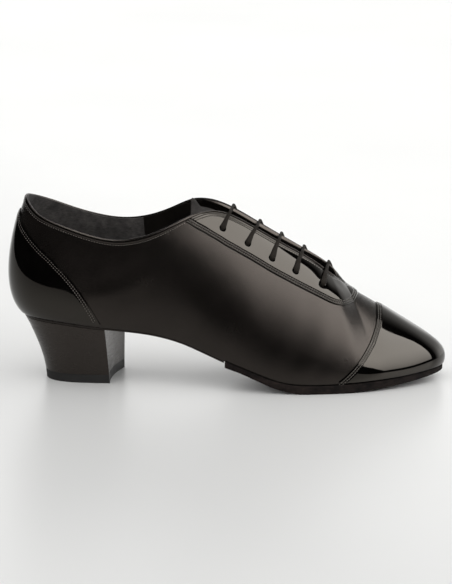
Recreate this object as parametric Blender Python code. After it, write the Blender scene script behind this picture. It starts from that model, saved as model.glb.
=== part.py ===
"""A laced ballroom dance shoe for the right foot, with a low block heel."""
import bmesh
import bpy
import numpy as np

for old in list(bpy.data.objects):
    bpy.data.objects.remove(old, do_unlink=True)

# Sizes of the shoe, metres
LENGTH = 0.2765
BALL_WIDTH = 0.096
SEAT_HEIGHT = 0.0422
BACK_HEIGHT = 0.1130
WALL = 0.0018
OVERLAY = 0.0010
GAP = 0.0003
COVER = 0.0012
TOP_PIECE = 0.0055
INSOLE = 0.0022
TONGUE = 0.0020
LACE_RADIUS = 0.0011
HOLE_RADIUS = 0.0017
BINDING_WIDTH = 0.0030
BINDING_HEIGHT = 0.0023
SOLE_LIP = 0.0010
BREAST_HOLLOW = 0.0024
BREAST_SLANT = 0.0050
BREAST_RAKE = 0.0023

# The middle of the finished shoe, as shares of LENGTH and BALL_WIDTH
MIDDLE_X = 0.5003
MIDDLE_Y = 0.0007

# Feather line, where the upper meets the sole, from the centre of the heel to the toe.
# x from the back of the heel by LENGTH, lateral and medial y by BALL_WIDTH,
# lateral and medial height by SEAT_HEIGHT
FEATHER = (
    (0.0347, -0.031, -0.031, 1.000, 1.000),
    (0.0423, -0.142, 0.079, 0.995, 0.995),
    (0.0647, -0.235, 0.171, 0.986, 0.986),
    (0.0995, -0.294, 0.227, 0.969, 0.969),
    (0.1447, -0.323, 0.256, 0.941, 0.941),
    (0.2025, -0.331, 0.260, 0.896, 0.903),
    (0.2676, -0.323, 0.238, 0.853, 0.877),
    (0.3327, -0.317, 0.203, 0.799, 0.855),
    (0.3978, -0.342, 0.185, 0.706, 0.794),
    (0.4557, -0.389, 0.215, 0.573, 0.664),
    (0.5136, -0.438, 0.286, 0.429, 0.491),
    (0.5714, -0.475, 0.371, 0.296, 0.325),
    (0.6293, -0.490, 0.444, 0.171, 0.180),
    (0.6872, -0.485, 0.481, 0.126, 0.126),
    (0.7450, -0.460, 0.485, 0.126, 0.126),
    (0.7993, -0.419, 0.460, 0.137, 0.137),
    (0.8499, -0.360, 0.415, 0.152, 0.152),
    (0.8969, -0.281, 0.348, 0.166, 0.166),
    (0.9385, -0.190, 0.278, 0.185, 0.185),
    (0.9700, -0.102, 0.200, 0.201, 0.201),
    (0.9872, -0.022, 0.124, 0.211, 0.211),
    (0.9931, 0.052, 0.052, 0.213, 0.213),
)

# Upper edge over each of those sections: the collar, the throat, then the ridge of the vamp.
# lateral x, y, z and medial x, y, z by LENGTH, BALL_WIDTH and BACK_HEIGHT
EDGE = (
    (0.0380, -0.031, 1.012, 0.0380, -0.031, 1.012),
    (0.0463, -0.130, 0.986, 0.0463, 0.068, 1.001),
    (0.0705, -0.203, 0.934, 0.0705, 0.141, 0.976),
    (0.1031, -0.246, 0.896, 0.1031, 0.185, 0.945),
    (0.1465, -0.271, 0.859, 0.1465, 0.211, 0.905),
    (0.2007, -0.284, 0.819, 0.2007, 0.224, 0.868),
    (0.2604, -0.285, 0.797, 0.2604, 0.226, 0.850),
    (0.3201, -0.271, 0.819, 0.3201, 0.217, 0.870),
    (0.3725, -0.234, 0.869, 0.3725, 0.192, 0.921),
    (0.4231, -0.167, 0.926, 0.4195, 0.148, 0.976),
    (0.4738, -0.098, 0.951, 0.4702, 0.100, 0.981),
    (0.5280, -0.073, 0.905, 0.5280, 0.073, 0.922),
    (0.5823, -0.077, 0.830, 0.5823, 0.077, 0.842),
    (0.6347, -0.079, 0.757, 0.6347, 0.079, 0.767),
    (0.6835, -0.074, 0.690, 0.6835, 0.076, 0.699),
    (0.7360, -0.060, 0.604, 0.7360, 0.066, 0.615),
    (0.7649, 0.008, 0.543, 0.7649, 0.008, 0.543),
    (0.7993, 0.016, 0.488, 0.7993, 0.016, 0.488),
    (0.8391, 0.023, 0.430, 0.8391, 0.023, 0.430),
    (0.8807, 0.031, 0.366, 0.8807, 0.031, 0.366),
    (0.9186, 0.041, 0.308, 0.9186, 0.041, 0.308),
    (0.9367, 0.046, 0.280, 0.9367, 0.046, 0.280),
)

# Fullness of each section: how far it leans out and rises off the feather line,
# and how far it lies out and down from its edge, by BALL_WIDTH and BACK_HEIGHT
SWELL = (
    (0.152, 0.106, 0.099, 0.221),
    (0.146, 0.106, 0.097, 0.221),
    (0.131, 0.115, 0.092, 0.221),
    (0.115, 0.124, 0.085, 0.212),
    (0.098, 0.128, 0.077, 0.204),
    (0.083, 0.133, 0.065, 0.186),
    (0.073, 0.142, 0.056, 0.177),
    (0.062, 0.159, 0.058, 0.177),
    (0.056, 0.195, 0.083, 0.186),
    (0.056, 0.241, 0.125, 0.186),
    (0.056, 0.255, 0.161, 0.168),
    (0.059, 0.234, 0.177, 0.133),
    (0.062, 0.192, 0.182, 0.111),
    (0.065, 0.159, 0.182, 0.093),
    (0.069, 0.129, 0.182, 0.071),
    (0.065, 0.093, 0.188, 0.040),
    (0.065, 0.089, 0.198, 0.009),
    (0.061, 0.081, 0.188, 0.000),
    (0.059, 0.080, 0.172, 0.000),
    (0.059, 0.089, 0.151, 0.000),
    (0.050, 0.084, 0.135, 0.000),
    (0.046, 0.081, 0.131, 0.000),
)

# Under face of the forefoot sole: x by LENGTH, height by SEAT_HEIGHT
TREAD = (
    (0.480, 0.400),
    (0.499, 0.370),
    (0.535, 0.301),
    (0.553, 0.258),
    (0.582, 0.180),
    (0.613, 0.095),
    (0.645, 0.033),
    (0.676, 0.000),
    (0.790, 0.000),
    (0.825, 0.014),
    (0.855, 0.036),
    (0.897, 0.064),
    (0.940, 0.093),
    (0.970, 0.119),
    (1.000, 0.145),
)

# Heel from the floor to the seat: height, length share, width share
HEEL = (
    (0.000, 0.748, 0.787),
    (0.168, 0.762, 0.795),
    (0.320, 0.787, 0.815),
    (0.480, 0.824, 0.848),
    (0.660, 0.878, 0.895),
    (0.860, 0.944, 0.955),
    (1.000, 1.000, 1.000),
)

# Seams, each point a section number and a share of the way up it
FACING_SEAM = (
    (8.75, 0.992),
    (9.32, 0.880),
    (9.89, 0.802),
    (10.49, 0.750),
    (11.05, 0.730),
    (11.81, 0.718),
    (12.80, 0.698),
    (13.78, 0.668),
    (14.30, 0.655),
    (14.65, 0.648),
    (15.11, 0.664),
    (15.60, 0.708),
    (16.04, 0.765),
    (16.36, 0.825),
    (16.66, 0.890),
    (16.86, 0.945),
    (16.92, 1.000),
)
CAP_SEAM = (
    (14.11, 0.000),
    (14.17, 0.022),
    (14.58, 0.120),
    (15.01, 0.217),
    (15.83, 0.393),
    (16.70, 0.585),
    (17.61, 0.843),
    (18.05, 1.000),
)
COUNTER_SEAM = (
    (0.00, 0.912),
    (0.74, 0.902),
    (1.18, 0.870),
    (1.87, 0.840),
    (2.44, 0.802),
    (3.32, 0.720),
    (4.02, 0.613),
    (4.32, 0.532),
    (4.51, 0.478),
    (4.72, 0.348),
    (4.92, 0.200),
    (5.09, 0.045),
)

# Bars of the lace from the collar to the toe: share that both eyelets sit at, and the section
# numbers of the lateral eyelet, the lateral edge, the medial edge and the medial eyelet
BARS = (
    (0.862, 10.39, 10.63, 10.72, 11.09),
    (0.820, 11.37, 11.75, 11.82, 12.21),
    (0.800, 12.33, 12.69, 12.74, 12.95),
    (0.780, 13.29, 13.76, 13.81, 13.85),
    (0.770, 14.38, 14.80, 14.85, 14.67),
)

LAST = len(FEATHER) - 1
ROUND = 2 * LAST
RIDGE = 16
FACING_START = 9.0
BINDING_END = 9.95
OVERLAY_FOOT = 0.045
BREAST = 5.55
COVER_END = 9.80
SOLE_START = 9.86
TONGUE_TOP = 9.1
TONGUE_FRONT = 16.5
TONGUE_SIDE = 0.66
TONGUE_DEPTH = WALL + 2.0 * LACE_RADIUS + 3.0 * GAP
TONGUE_LIFT = 0.0065
TONGUE_FLICK = 0.45
THROAT_CROWN = 0.06
TONGUE_COLUMNS = 5
SHOULDER = 0.35
HOLE_REACH = 0.0015
HOLE_SIDES = 8
LACE_TURN = 0.0014
LACE_HALFWAY = 0.45
LACE_SPRING = 0.3
LACE_CROWN = 0.1
UNDER_KNOTS = (0.35, 0.65)

# Steps in section number and share that slopes are taken over
STEP = 0.01
RIDGE_STEP = 0.02
RIDGE_HOLD = 0.03
BORDER = 0.012
EDGE_SHARE = 0.985
ON_RIDGE = 0.9999

# The eyestay's throat line: share along its seam and section number
THROAT_KNOTS = ((0.0, 0.10, 0.80, 1.0), (FACING_START, 10.0, 15.3, 16.05))
SEAM_WEIGHT = 4.0


def around(lateral, medial):
    """One value per section round the whole shoe."""
    return np.concatenate([lateral, medial[-2:0:-1]])


def closed_curve(values):
    """A smooth curve through evenly spaced values that meets itself again."""
    count = len(values)
    turn = np.eye(count)
    grid = 4.0 * turn + np.roll(turn, 1, 0) + np.roll(turn, -1, 0)
    second = 6.0 * (np.roll(values, -1) - 2.0 * values + np.roll(values, 1))
    bend = np.linalg.solve(grid, second)

    def at(s):
        whole = np.floor(s)
        i = whole.astype(int) % count
        j = (i + 1) % count
        b = s - whole
        a = 1.0 - b
        cubic = (a ** 3 - a) * bend[i] + (b ** 3 - b) * bend[j]
        return a * values[i] + b * values[j] + cubic / 6.0

    return at


def curves():
    """The tables as smooth curves, in metres."""
    foot = np.array(FEATHER)
    edge = np.array(EDGE)
    swell = np.array(SWELL)
    found = {
        "foot_x": around(foot[:, 0], foot[:, 0]) * LENGTH,
        "foot_y": around(foot[:, 1], foot[:, 2]) * BALL_WIDTH,
        "foot_z": around(foot[:, 3], foot[:, 4]) * SEAT_HEIGHT,
        "edge_x": around(edge[:, 0], edge[:, 3]) * LENGTH,
        "edge_y": around(edge[:, 1], edge[:, 4]) * BALL_WIDTH,
        "edge_z": around(edge[:, 2], edge[:, 5]) * BACK_HEIGHT,
        "out": around(swell[:, 0], swell[:, 0]) * BALL_WIDTH,
        "rise": around(swell[:, 1], swell[:, 1]) * BACK_HEIGHT,
        "top_out": around(swell[:, 2], swell[:, 2]) * BALL_WIDTH,
        "top_down": around(swell[:, 3], swell[:, 3]) * BACK_HEIGHT,
    }
    return {name: closed_curve(values) for name, values in found.items()}


CURVES = curves()


def pick(prefix, s):
    return np.stack([CURVES[prefix + axis](s) for axis in ("_x", "_y", "_z")], -1)


def foot(s):
    """Point of the feather line."""
    return pick("foot", s)


def section(s):
    """Section number counted from the heel on either side."""
    s = np.mod(s, ROUND)
    return np.minimum(s, ROUND - s)


def edge(s):
    """Point of the upper edge; both sides share the ridge of the vamp."""
    own = pick("edge", s)
    shared = (own + pick("edge", ROUND - s)) / 2.0
    return np.where((section(s) >= RIDGE)[..., None], shared, own)


def outward(s):
    """Level direction out of the feather line."""
    run = foot(s + STEP) - foot(s - STEP)
    side = np.stack([run[..., 1], -run[..., 0]], -1)
    return side / np.linalg.norm(side, axis=-1, keepdims=True)


def ridge_slope(s):
    """Fall of the vamp's ridge, so that both sides leave it on one tangent."""
    r = section(s)
    held = np.clip(r, RIDGE + RIDGE_HOLD, LAST - RIDGE_HOLD)
    run = edge(held + RIDGE_STEP) - edge(held - RIDGE_STEP)
    return run[..., 2] / run[..., 0] * np.clip(r - RIDGE + 1.0, 0.0, 1.0)


def form(s, t):
    """Outer surface of the upper: section s round the shoe, share t of the way up."""
    s, t = np.broadcast_arrays(np.asarray(s, float), np.asarray(t, float))
    low = foot(s)
    high = edge(s)
    side = outward(s)
    out = CURVES["out"](s)
    top_out = CURVES["top_out"](s)
    lean = np.stack([side[..., 0] * out, side[..., 1] * out, CURVES["rise"](s)], -1)
    fall = ridge_slope(s) * side[..., 0] * top_out - CURVES["top_down"](s)
    over = np.stack([side[..., 0] * top_out, side[..., 1] * top_out, fall], -1)
    t = t[..., None]
    q = 1.0 - t
    start = q ** 3 * low + 3.0 * q * q * t * (low + lean)
    return start + 3.0 * q * t * t * (high + over) + t ** 3 * high


def normal(s, t):
    """Direction out of the surface."""
    t = np.clip(t, BORDER, 1.0 - BORDER)
    along = form(s + STEP, t) - form(s - STEP, t)
    up = form(s, t + STEP) - form(s, t - STEP)
    found = np.cross(along, up)
    return found / np.linalg.norm(found, axis=-1, keepdims=True)


def skin(s, t, offset):
    """Point off the surface by a distance; the ridge belongs to both sides."""
    s, t = np.broadcast_arrays(np.asarray(s, float), np.asarray(t, float))
    away = normal(s, t)
    both = away + normal(ROUND - s, t)
    both = both / np.linalg.norm(both, axis=-1, keepdims=True)
    on_ridge = (section(s) >= RIDGE) & (t > ON_RIDGE)
    away = np.where(on_ridge[..., None], both, away)
    return form(s, t) + away * offset


def placed(points):
    """Move from the heel's back and the centre plane to the middle of the shoe."""
    shift = np.array([MIDDLE_X * LENGTH, MIDDLE_Y * BALL_WIDTH, 0.0])
    return points - shift


def material(name, colour, roughness):
    made = bpy.data.materials.new(name)
    made.use_nodes = True
    shader = made.node_tree.nodes["Principled BSDF"]
    shader.inputs["Base Color"].default_value = (*colour, 1.0)
    shader.inputs["Roughness"].default_value = roughness
    return made


def collection(name):
    made = bpy.data.collections.new(name)
    bpy.context.scene.collection.children.link(made)
    return made


SHOE = collection("dance_shoe")
CUTTERS = collection("cutters")
SMOOTH = material("smooth_leather", (0.018, 0.017, 0.016), 0.42)
PATENT = material("patent_leather", (0.008, 0.008, 0.008), 0.08)
LINING = material("lining", (0.030, 0.030, 0.032), 0.70)
SUEDE = material("sole_suede", (0.020, 0.020, 0.021), 0.90)
TIP = material("heel_tip", (0.012, 0.012, 0.012), 0.60)
TEXTILE = material("lace_textile", (0.045, 0.042, 0.038), 0.80)


def finished(name, mesh, finish, group):
    """Turn the faces outwards and make the object."""
    bmesh.ops.recalc_face_normals(mesh, faces=mesh.faces)
    if mesh.calc_volume(signed=True) < 0.0:
        bmesh.ops.reverse_faces(mesh, faces=mesh.faces)
    data = bpy.data.meshes.new(name)
    mesh.to_mesh(data)
    mesh.free()
    data.materials.append(finish)
    made = bpy.data.objects.new(name, data)
    group.objects.link(made)
    return made


def block(name, layers, finish, group=SHOE):
    """A closed body from matching grids of points, the outer one first."""
    mesh = bmesh.new()
    rows, columns = layers[0].shape[:2]
    known = {}
    stacks = []

    def stack(i, j):
        key = tuple(np.round(layers[0][i, j], 7))
        if key not in known:
            known[key] = len(stacks)
            stacks.append([mesh.verts.new(placed(layer[i, j])) for layer in layers])
        return known[key]

    patches = []
    for i in range(rows - 1):
        for j in range(columns - 1):
            corners = [stack(i, j), stack(i + 1, j), stack(i + 1, j + 1), stack(i, j + 1)]
            kept = list(dict.fromkeys(corners))
            if len(kept) > 2:
                patches.append(kept)
    edges = set()
    for patch in patches:
        edges.update(zip(patch, patch[1:] + patch[:1]))
        mesh.faces.new([stacks[k][0] for k in patch])
        mesh.faces.new([stacks[k][-1] for k in reversed(patch)])
    for a, b in edges:
        if (b, a) in edges:
            continue
        for upper, lower in zip(range(len(layers) - 1), range(1, len(layers))):
            ring = (stacks[b][upper], stacks[a][upper], stacks[a][lower], stacks[b][lower])
            mesh.faces.new(ring)
    return finished(name, mesh, finish, group)


def sheet(name, s, t, low, high, finish):
    """A layer of the upper between two distances off its surface."""
    return block(name, [skin(s, t, high), skin(s, t, low)], finish)


def follow(table, share):
    """Points along a table of section numbers and shares, share from 0 to 1."""
    rows = np.array(table)
    steps = np.hypot(np.diff(rows[:, 0]), SEAM_WEIGHT * np.diff(rows[:, 1]))
    length = np.concatenate([[0.0], np.cumsum(steps)])
    place = share * length[-1]
    return np.interp(place, length, rows[:, 0]), np.interp(place, length, rows[:, 1])


def upper():
    half = np.concatenate([
        np.linspace(0.0, 4.0, 8, endpoint=False),
        np.linspace(4.0, RIDGE, 18, endpoint=False),
        np.linspace(RIDGE, LAST, 11),
    ])
    stations = np.concatenate([half, ROUND - half[-2::-1]])
    s, t = np.meshgrid(stations, np.linspace(0.0, 1.0, 11), indexing="ij")
    return sheet("upper", s, t, -WALL, 0.0, SMOOTH)


def facing():
    """The eyestay: from its seam to the throat on both sides, round the front of the throat."""
    w = np.linspace(0.0, 1.0, 24)
    seam_s, seam_t = follow(FACING_SEAM, w)
    throat_s = np.interp(w, *THROAT_KNOTS)
    v = np.linspace(0.0, 1.0, 5)
    s = seam_s[:, None] + (throat_s - seam_s)[:, None] * v
    t = seam_t[:, None] + (1.0 - seam_t)[:, None] * v
    both_s = np.concatenate([s, ROUND - s[-2::-1]])
    both_t = np.concatenate([t, t[-2::-1]])
    return sheet("facing", both_s, both_t, GAP, GAP + OVERLAY, PATENT)


def toe_cap():
    t = np.linspace(OVERLAY_FOOT, 1.0, 14)
    rows = np.array(CAP_SEAM)
    seam = np.interp(t, rows[:, 1], rows[:, 0])
    w = np.linspace(0.0, 1.0, 14)
    half = seam[:, None] + (LAST - seam)[:, None] * w
    s = np.concatenate([half, ROUND - half[:, -2::-1]], axis=1)
    return sheet("toe_cap", s, np.broadcast_to(t[:, None], s.shape), GAP, GAP + OVERLAY, PATENT)


def counter():
    w = np.linspace(0.0, 1.0, 14)
    seam_s, seam_t = follow(COUNTER_SEAM, w)
    v = np.linspace(0.0, 1.0, 10)
    foot_s = w * COUNTER_SEAM[-1][0]
    s = foot_s[:, None] + (seam_s - foot_s)[:, None] * v
    t = OVERLAY_FOOT + (np.maximum(seam_t, OVERLAY_FOOT + STEP) - OVERLAY_FOOT)[:, None] * v
    both_s = np.concatenate([ROUND - s[::-1], s[1:]])
    both_t = np.concatenate([t[::-1], t[1:]])
    return sheet("counter", both_s, both_t, GAP, GAP + OVERLAY, PATENT)


def unit(v):
    return v / np.linalg.norm(v, axis=-1, keepdims=True)


def bar(name, rings, finish):
    """A closed bar through rings of points."""
    mesh = bmesh.new()
    verts = [[mesh.verts.new(placed(p)) for p in ring] for ring in rings]
    count = len(verts[0])
    for first, second in zip(verts, verts[1:]):
        for k in range(count):
            m = (k + 1) % count
            mesh.faces.new((first[k], first[m], second[m], second[k]))
    mesh.faces.new(list(reversed(verts[0])))
    mesh.faces.new(verts[-1])
    return finished(name, mesh, finish, SHOE)


def collar_binding():
    """A rolled edge along the collar from one throat corner to the other."""
    s = np.linspace(-BINDING_END, BINDING_END, 45)
    away = unit(skin(s, 1.0, WALL) - form(s, 1.0))
    up = unit(form(s, 1.0) - form(s, EDGE_SHARE))
    middle = form(s, 1.0) - away * WALL / 2.0 + up * (GAP + BINDING_HEIGHT / 2.0)
    turn = np.linspace(0.0, 2.0 * np.pi, 9)[:-1]
    wide = np.cos(turn)[None, :, None] * BINDING_WIDTH / 2.0
    tall = np.sin(turn)[None, :, None] * BINDING_HEIGHT / 2.0
    rings = middle[:, None] + away[:, None] * wide + up[:, None] * tall
    return bar("collar_binding", rings, SMOOTH)


def tongue():
    """A leather flap under the facings, crowned where it bridges the throat."""
    r = TONGUE_TOP + (TONGUE_FRONT - TONGUE_TOP) * np.linspace(0.0, 1.0, 13) ** 1.5
    t = np.linspace(TONGUE_SIDE, 1.0, TONGUE_COLUMNS)
    layers = []
    for depth in (TONGUE_DEPTH, TONGUE_DEPTH + TONGUE):
        lateral = skin(r[:, None], t[None, :], -depth)
        medial = skin(ROUND - r[:, None], t[None, :], -depth)
        flick = np.exp(-((r - TONGUE_TOP) / TONGUE_FLICK) ** 2)
        crown = np.linalg.norm(lateral[:, -1] - medial[:, -1], axis=-1) * THROAT_CROWN
        middle = (lateral[:, -1] + medial[:, -1]) / 2.0
        middle[:, 2] += crown + TONGUE_LIFT * flick
        shoulder = 0.5 * (middle + lateral[:, -1])
        shoulder[:, 2] += crown * SHOULDER
        other = 0.5 * (middle + medial[:, -1])
        other[:, 2] += crown * SHOULDER
        bridge = np.stack([shoulder, middle, other], 1)
        layers.append(np.concatenate([lateral, bridge, medial[:, ::-1]], axis=1))
    return block("tongue", layers, LINING)


def across_foot(s, across, inset):
    """Rows across the shoe at the feather line, drawn in from it."""
    lateral = foot(s)
    medial = foot(ROUND - s)
    lateral[:, :2] -= outward(s) * inset
    medial[:, :2] -= outward(ROUND - s) * inset
    return lateral[:, None] + (medial - lateral)[:, None] * across[None, :, None]


def lifted(rows, height):
    """The same rows moved up."""
    made = rows.copy()
    made[..., 2] += height
    return made


def insole():
    s = np.linspace(0.0, LAST, 22)
    rows = across_foot(s, np.linspace(0.0, 1.0, 4), WALL + 2.0 * GAP)
    return block("insole", [lifted(rows, 2.0 * GAP + INSOLE), lifted(rows, 2.0 * GAP)], LINING)


def waist_cover():
    """The thin leather that closes the shoe's underside from the heel to the forefoot sole."""
    s = np.linspace(0.0, COVER_END, 15)
    rows = across_foot(s, np.linspace(0.0, 1.0, 4), 0.0)
    return block("waist_cover", [lifted(rows, -GAP), lifted(rows, -GAP - COVER)], SMOOTH)


def outsole():
    """The forefoot sole, level where it bears and sprung up to the toe."""
    s = np.linspace(SOLE_START, LAST, 24)
    across = np.linspace(0.0, 1.0, 5)
    rows = across_foot(s, across, -SOLE_LIP)
    tread = np.array(TREAD)
    lateral_z = foot(s)[:, 2]
    arch = (foot(ROUND - s)[:, 2] - lateral_z)[:, None] * across[None, :]
    under = rows.copy()
    share = rows[..., 0] / LENGTH
    level = np.interp(share, tread[:, 0], tread[:, 1]) * SEAT_HEIGHT
    under[..., 2] = np.maximum(level + arch, 0.0)
    return block("outsole", [lifted(rows, -GAP), under], SUEDE)


def rake(rows):
    """How far the heel's lateral side leans back from the floor to the seat."""
    along, across = (np.linspace(0.0, 1.0, count) for count in rows.shape[:2])
    return along[:, None] ** 3 * (1.0 - across)[None, :] * BREAST_RAKE


def heel_rows():
    """Seat of the heel in rows across, the last of them the hollow, slanted breast."""
    s = np.linspace(0.0, BREAST, 10)
    across = np.linspace(0.0, 1.0, 7)
    rows = across_foot(s, across, 0.0)
    hollow = 4.0 * across * (1.0 - across) * BREAST_HOLLOW
    rows[..., 0] += (s / BREAST)[:, None] ** 3 * (across * BREAST_SLANT - hollow)[None, :]
    rows[..., 0] -= rake(rows)
    seat = across_foot(np.linspace(0.0, BREAST + 1.0, 40), across, 0.0)
    for j in range(len(across)):
        rows[1:, j, 2] = np.interp(rows[1:, j, 0], seat[:, j, 0], seat[:, j, 2])
    return lifted(rows, -GAP - COVER - GAP)


def heel_level(rows, height):
    """The heel's rows at a height above the floor, drawn in towards the breast and middle."""
    table = np.array(HEEL)
    share = height / rows[..., 2]
    long = np.interp(share, table[:, 0], table[:, 1])
    wide = np.interp(share, table[:, 0], table[:, 2])
    breast = rows[-1, :, 0][None, :]
    middle = (rows[:, :1, 1] + rows[:, -1:, 1]) / 2.0
    made = rows.copy()
    made[..., 0] = breast - (breast - rows[..., 0]) * long + rake(rows) * (1.0 - share)
    made[..., 1] = middle + (rows[..., 1] - middle) * wide
    made[..., 2] = height
    return made


def heel():
    rows = heel_rows()
    low = TOP_PIECE + GAP
    layers = [
        heel_level(rows, low + (rows[..., 2] - low) * share)
        for share in np.linspace(1.0, 0.0, 7)
    ]
    return block("heel", layers, SMOOTH)


def top_piece():
    rows = heel_rows()
    flat = np.zeros_like(rows[..., 2])
    return block("top_piece", [heel_level(rows, flat + TOP_PIECE), heel_level(rows, flat)], TIP)


def eyelets():
    """Lateral and medial eyelet of each pair as section number and share."""
    return [((row[1], row[0]), (ROUND - row[4], row[0])) for row in BARS]


def crossings():
    """Section numbers where each bar crosses the lateral and the medial edge."""
    return [(row[2], ROUND - row[3]) for row in BARS]


def at(spot, offset):
    return skin(spot[0], spot[1], offset)


def hole_cutter():
    """One cutter per eyelet, square to the surface."""
    made = []
    for pair in eyelets():
        for spot in pair:
            low = at(spot, -WALL - HOLE_REACH)
            high = at(spot, GAP + OVERLAY + HOLE_REACH)
            axis = unit(high - low)
            side = unit(np.cross(axis, (1.0, 0.0, 0.0)))
            turn = np.linspace(0.0, 2.0 * np.pi, HOLE_SIDES + 1)[:-1]
            spin = np.cos(turn)[:, None] * side + np.sin(turn)[:, None] * np.cross(axis, side)
            made.append([low + spin * HOLE_RADIUS, high + spin * HOLE_RADIUS])
    mesh = bmesh.new()
    for rings in made:
        verts = [[mesh.verts.new(placed(p)) for p in ring] for ring in rings]
        for k in range(HOLE_SIDES):
            m = (k + 1) % HOLE_SIDES
            mesh.faces.new((verts[0][k], verts[0][m], verts[1][m], verts[1][k]))
        mesh.faces.new(list(reversed(verts[0])))
        mesh.faces.new(verts[1])
    cutter = finished("eyelet_cutter", mesh, SMOOTH, CUTTERS)
    cutter.hide_render = True
    cutter.display_type = "WIRE"
    return cutter


def pierce(body, cutter):
    cut = body.modifiers.new("eyelets", "BOOLEAN")
    cut.operation = "DIFFERENCE"
    cut.solver = "EXACT"
    cut.object = cutter


def corner(spot, toward, height, turn_in):
    """Quarter turn of the lace out of an eyelet towards a point."""
    heart = at(spot, height - turn_in)
    axis = unit(at(spot, 1.0) - at(spot, 0.0))
    level = toward - heart
    level = unit(level - axis * np.dot(level, axis))
    radius = abs(turn_in)
    bend = np.linspace(0.0, np.pi / 2.0, 3)
    return [
        heart + axis * np.sin(b) * turn_in + level * (1.0 - np.cos(b)) * radius for b in bend
    ]


def over_throat(first, second, edges):
    """Lace centre line from one eyelet up over the throat and down to the other."""
    height = GAP + OVERLAY + GAP + LACE_RADIUS
    path = []
    for spot, edge_s in zip((first, second), edges):
        side = []
        for share in (LACE_HALFWAY, 1.0):
            s = spot[0] + (edge_s - spot[0]) * share
            t = spot[1] + (1.0 - spot[1]) * share
            base = form(s, t)
            over = unit(skin(s, t, height) - base)
            over = unit(over + np.array([0.0, 0.0, share ** 2]))
            side.append(base + over * (height + LACE_RADIUS * LACE_SPRING * share))
        path.append(side)
    up, down = path
    lead = corner(first, up[0], height, LACE_TURN)
    end = corner(second, down[0], height, LACE_TURN)
    top = (up[-1] + down[-1]) / 2.0 + np.array([0.0, 0.0, LACE_RADIUS * LACE_CROWN])
    return lead + up + [top] + down[::-1] + end[::-1]


def under_facing(first, second):
    """Lace centre line from one eyelet to the next below the upper."""
    depth = -WALL - GAP - LACE_RADIUS
    share = np.array(UNDER_KNOTS)
    s = first[0] + (second[0] - first[0]) * share
    t = first[1] + (second[1] - first[1]) * share
    path = [skin(a, b, depth) for a, b in zip(s, t)]
    start = corner(first, path[0], depth, -LACE_TURN)
    end = corner(second, path[-1], depth, -LACE_TURN)
    return start + path + end[::-1]


def lace():
    """One lace through every eyelet; its ends stop below the outer pairs."""
    pairs = eyelets()
    depth = -WALL - GAP - LACE_RADIUS
    path = [at(pairs[0][0], depth)]
    for i, (pair, edges) in enumerate(zip(pairs, crossings())):
        step = 1 if i % 2 == 0 else -1
        first, second = pair[::step]
        path += over_throat(first, second, edges[::step])
        if i + 1 < len(pairs):
            path += under_facing(second, pairs[i + 1][0 if i % 2 else 1])
        else:
            path.append(at(second, depth))
    curve = bpy.data.curves.new("lace", "CURVE")
    curve.dimensions = "3D"
    curve.bevel_depth = LACE_RADIUS
    curve.bevel_resolution = 2
    curve.resolution_u = 1
    curve.render_resolution_u = 0
    curve.use_fill_caps = True
    line = curve.splines.new("POLY")
    line.points.add(len(path) - 1)
    for point, place in zip(line.points, path):
        point.co = (*placed(place), 1.0)
    curve.materials.append(TEXTILE)
    made = bpy.data.objects.new("lace", curve)
    SHOE.objects.link(made)
    return made


SHELL = upper()
EYESTAY = facing()
toe_cap()
counter()
collar_binding()
tongue()
insole()
waist_cover()
outsole()
heel()
top_piece()
CUTTER = hole_cutter()
pierce(SHELL, CUTTER)
pierce(EYESTAY, CUTTER)
lace()
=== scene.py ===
"""Looks of a black laced ballroom dance shoe for the right foot, on a pale studio floor."""
import logging
import math
from dataclasses import dataclass
from enum import Enum
from typing import Callable

import bmesh
import bpy
import numpy as np
from mathutils import Matrix, Vector, kdtree


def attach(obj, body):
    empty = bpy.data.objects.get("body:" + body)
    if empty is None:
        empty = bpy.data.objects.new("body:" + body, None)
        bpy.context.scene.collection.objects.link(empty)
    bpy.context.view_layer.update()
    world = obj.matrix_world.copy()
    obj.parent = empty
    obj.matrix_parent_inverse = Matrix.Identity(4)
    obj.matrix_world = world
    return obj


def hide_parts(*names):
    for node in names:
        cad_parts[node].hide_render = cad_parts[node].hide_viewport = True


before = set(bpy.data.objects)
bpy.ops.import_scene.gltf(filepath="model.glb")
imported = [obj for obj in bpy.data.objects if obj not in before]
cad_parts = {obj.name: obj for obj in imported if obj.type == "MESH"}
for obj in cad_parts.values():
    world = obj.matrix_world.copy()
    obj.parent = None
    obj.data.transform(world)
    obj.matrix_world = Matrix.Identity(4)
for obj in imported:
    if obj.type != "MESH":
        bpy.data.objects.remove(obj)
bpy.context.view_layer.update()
LOG = logging.getLogger("dance_shoe")
BODY = "root"

Array = np.ndarray
Place = Callable[[Array, Array, Array], Array]

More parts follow.
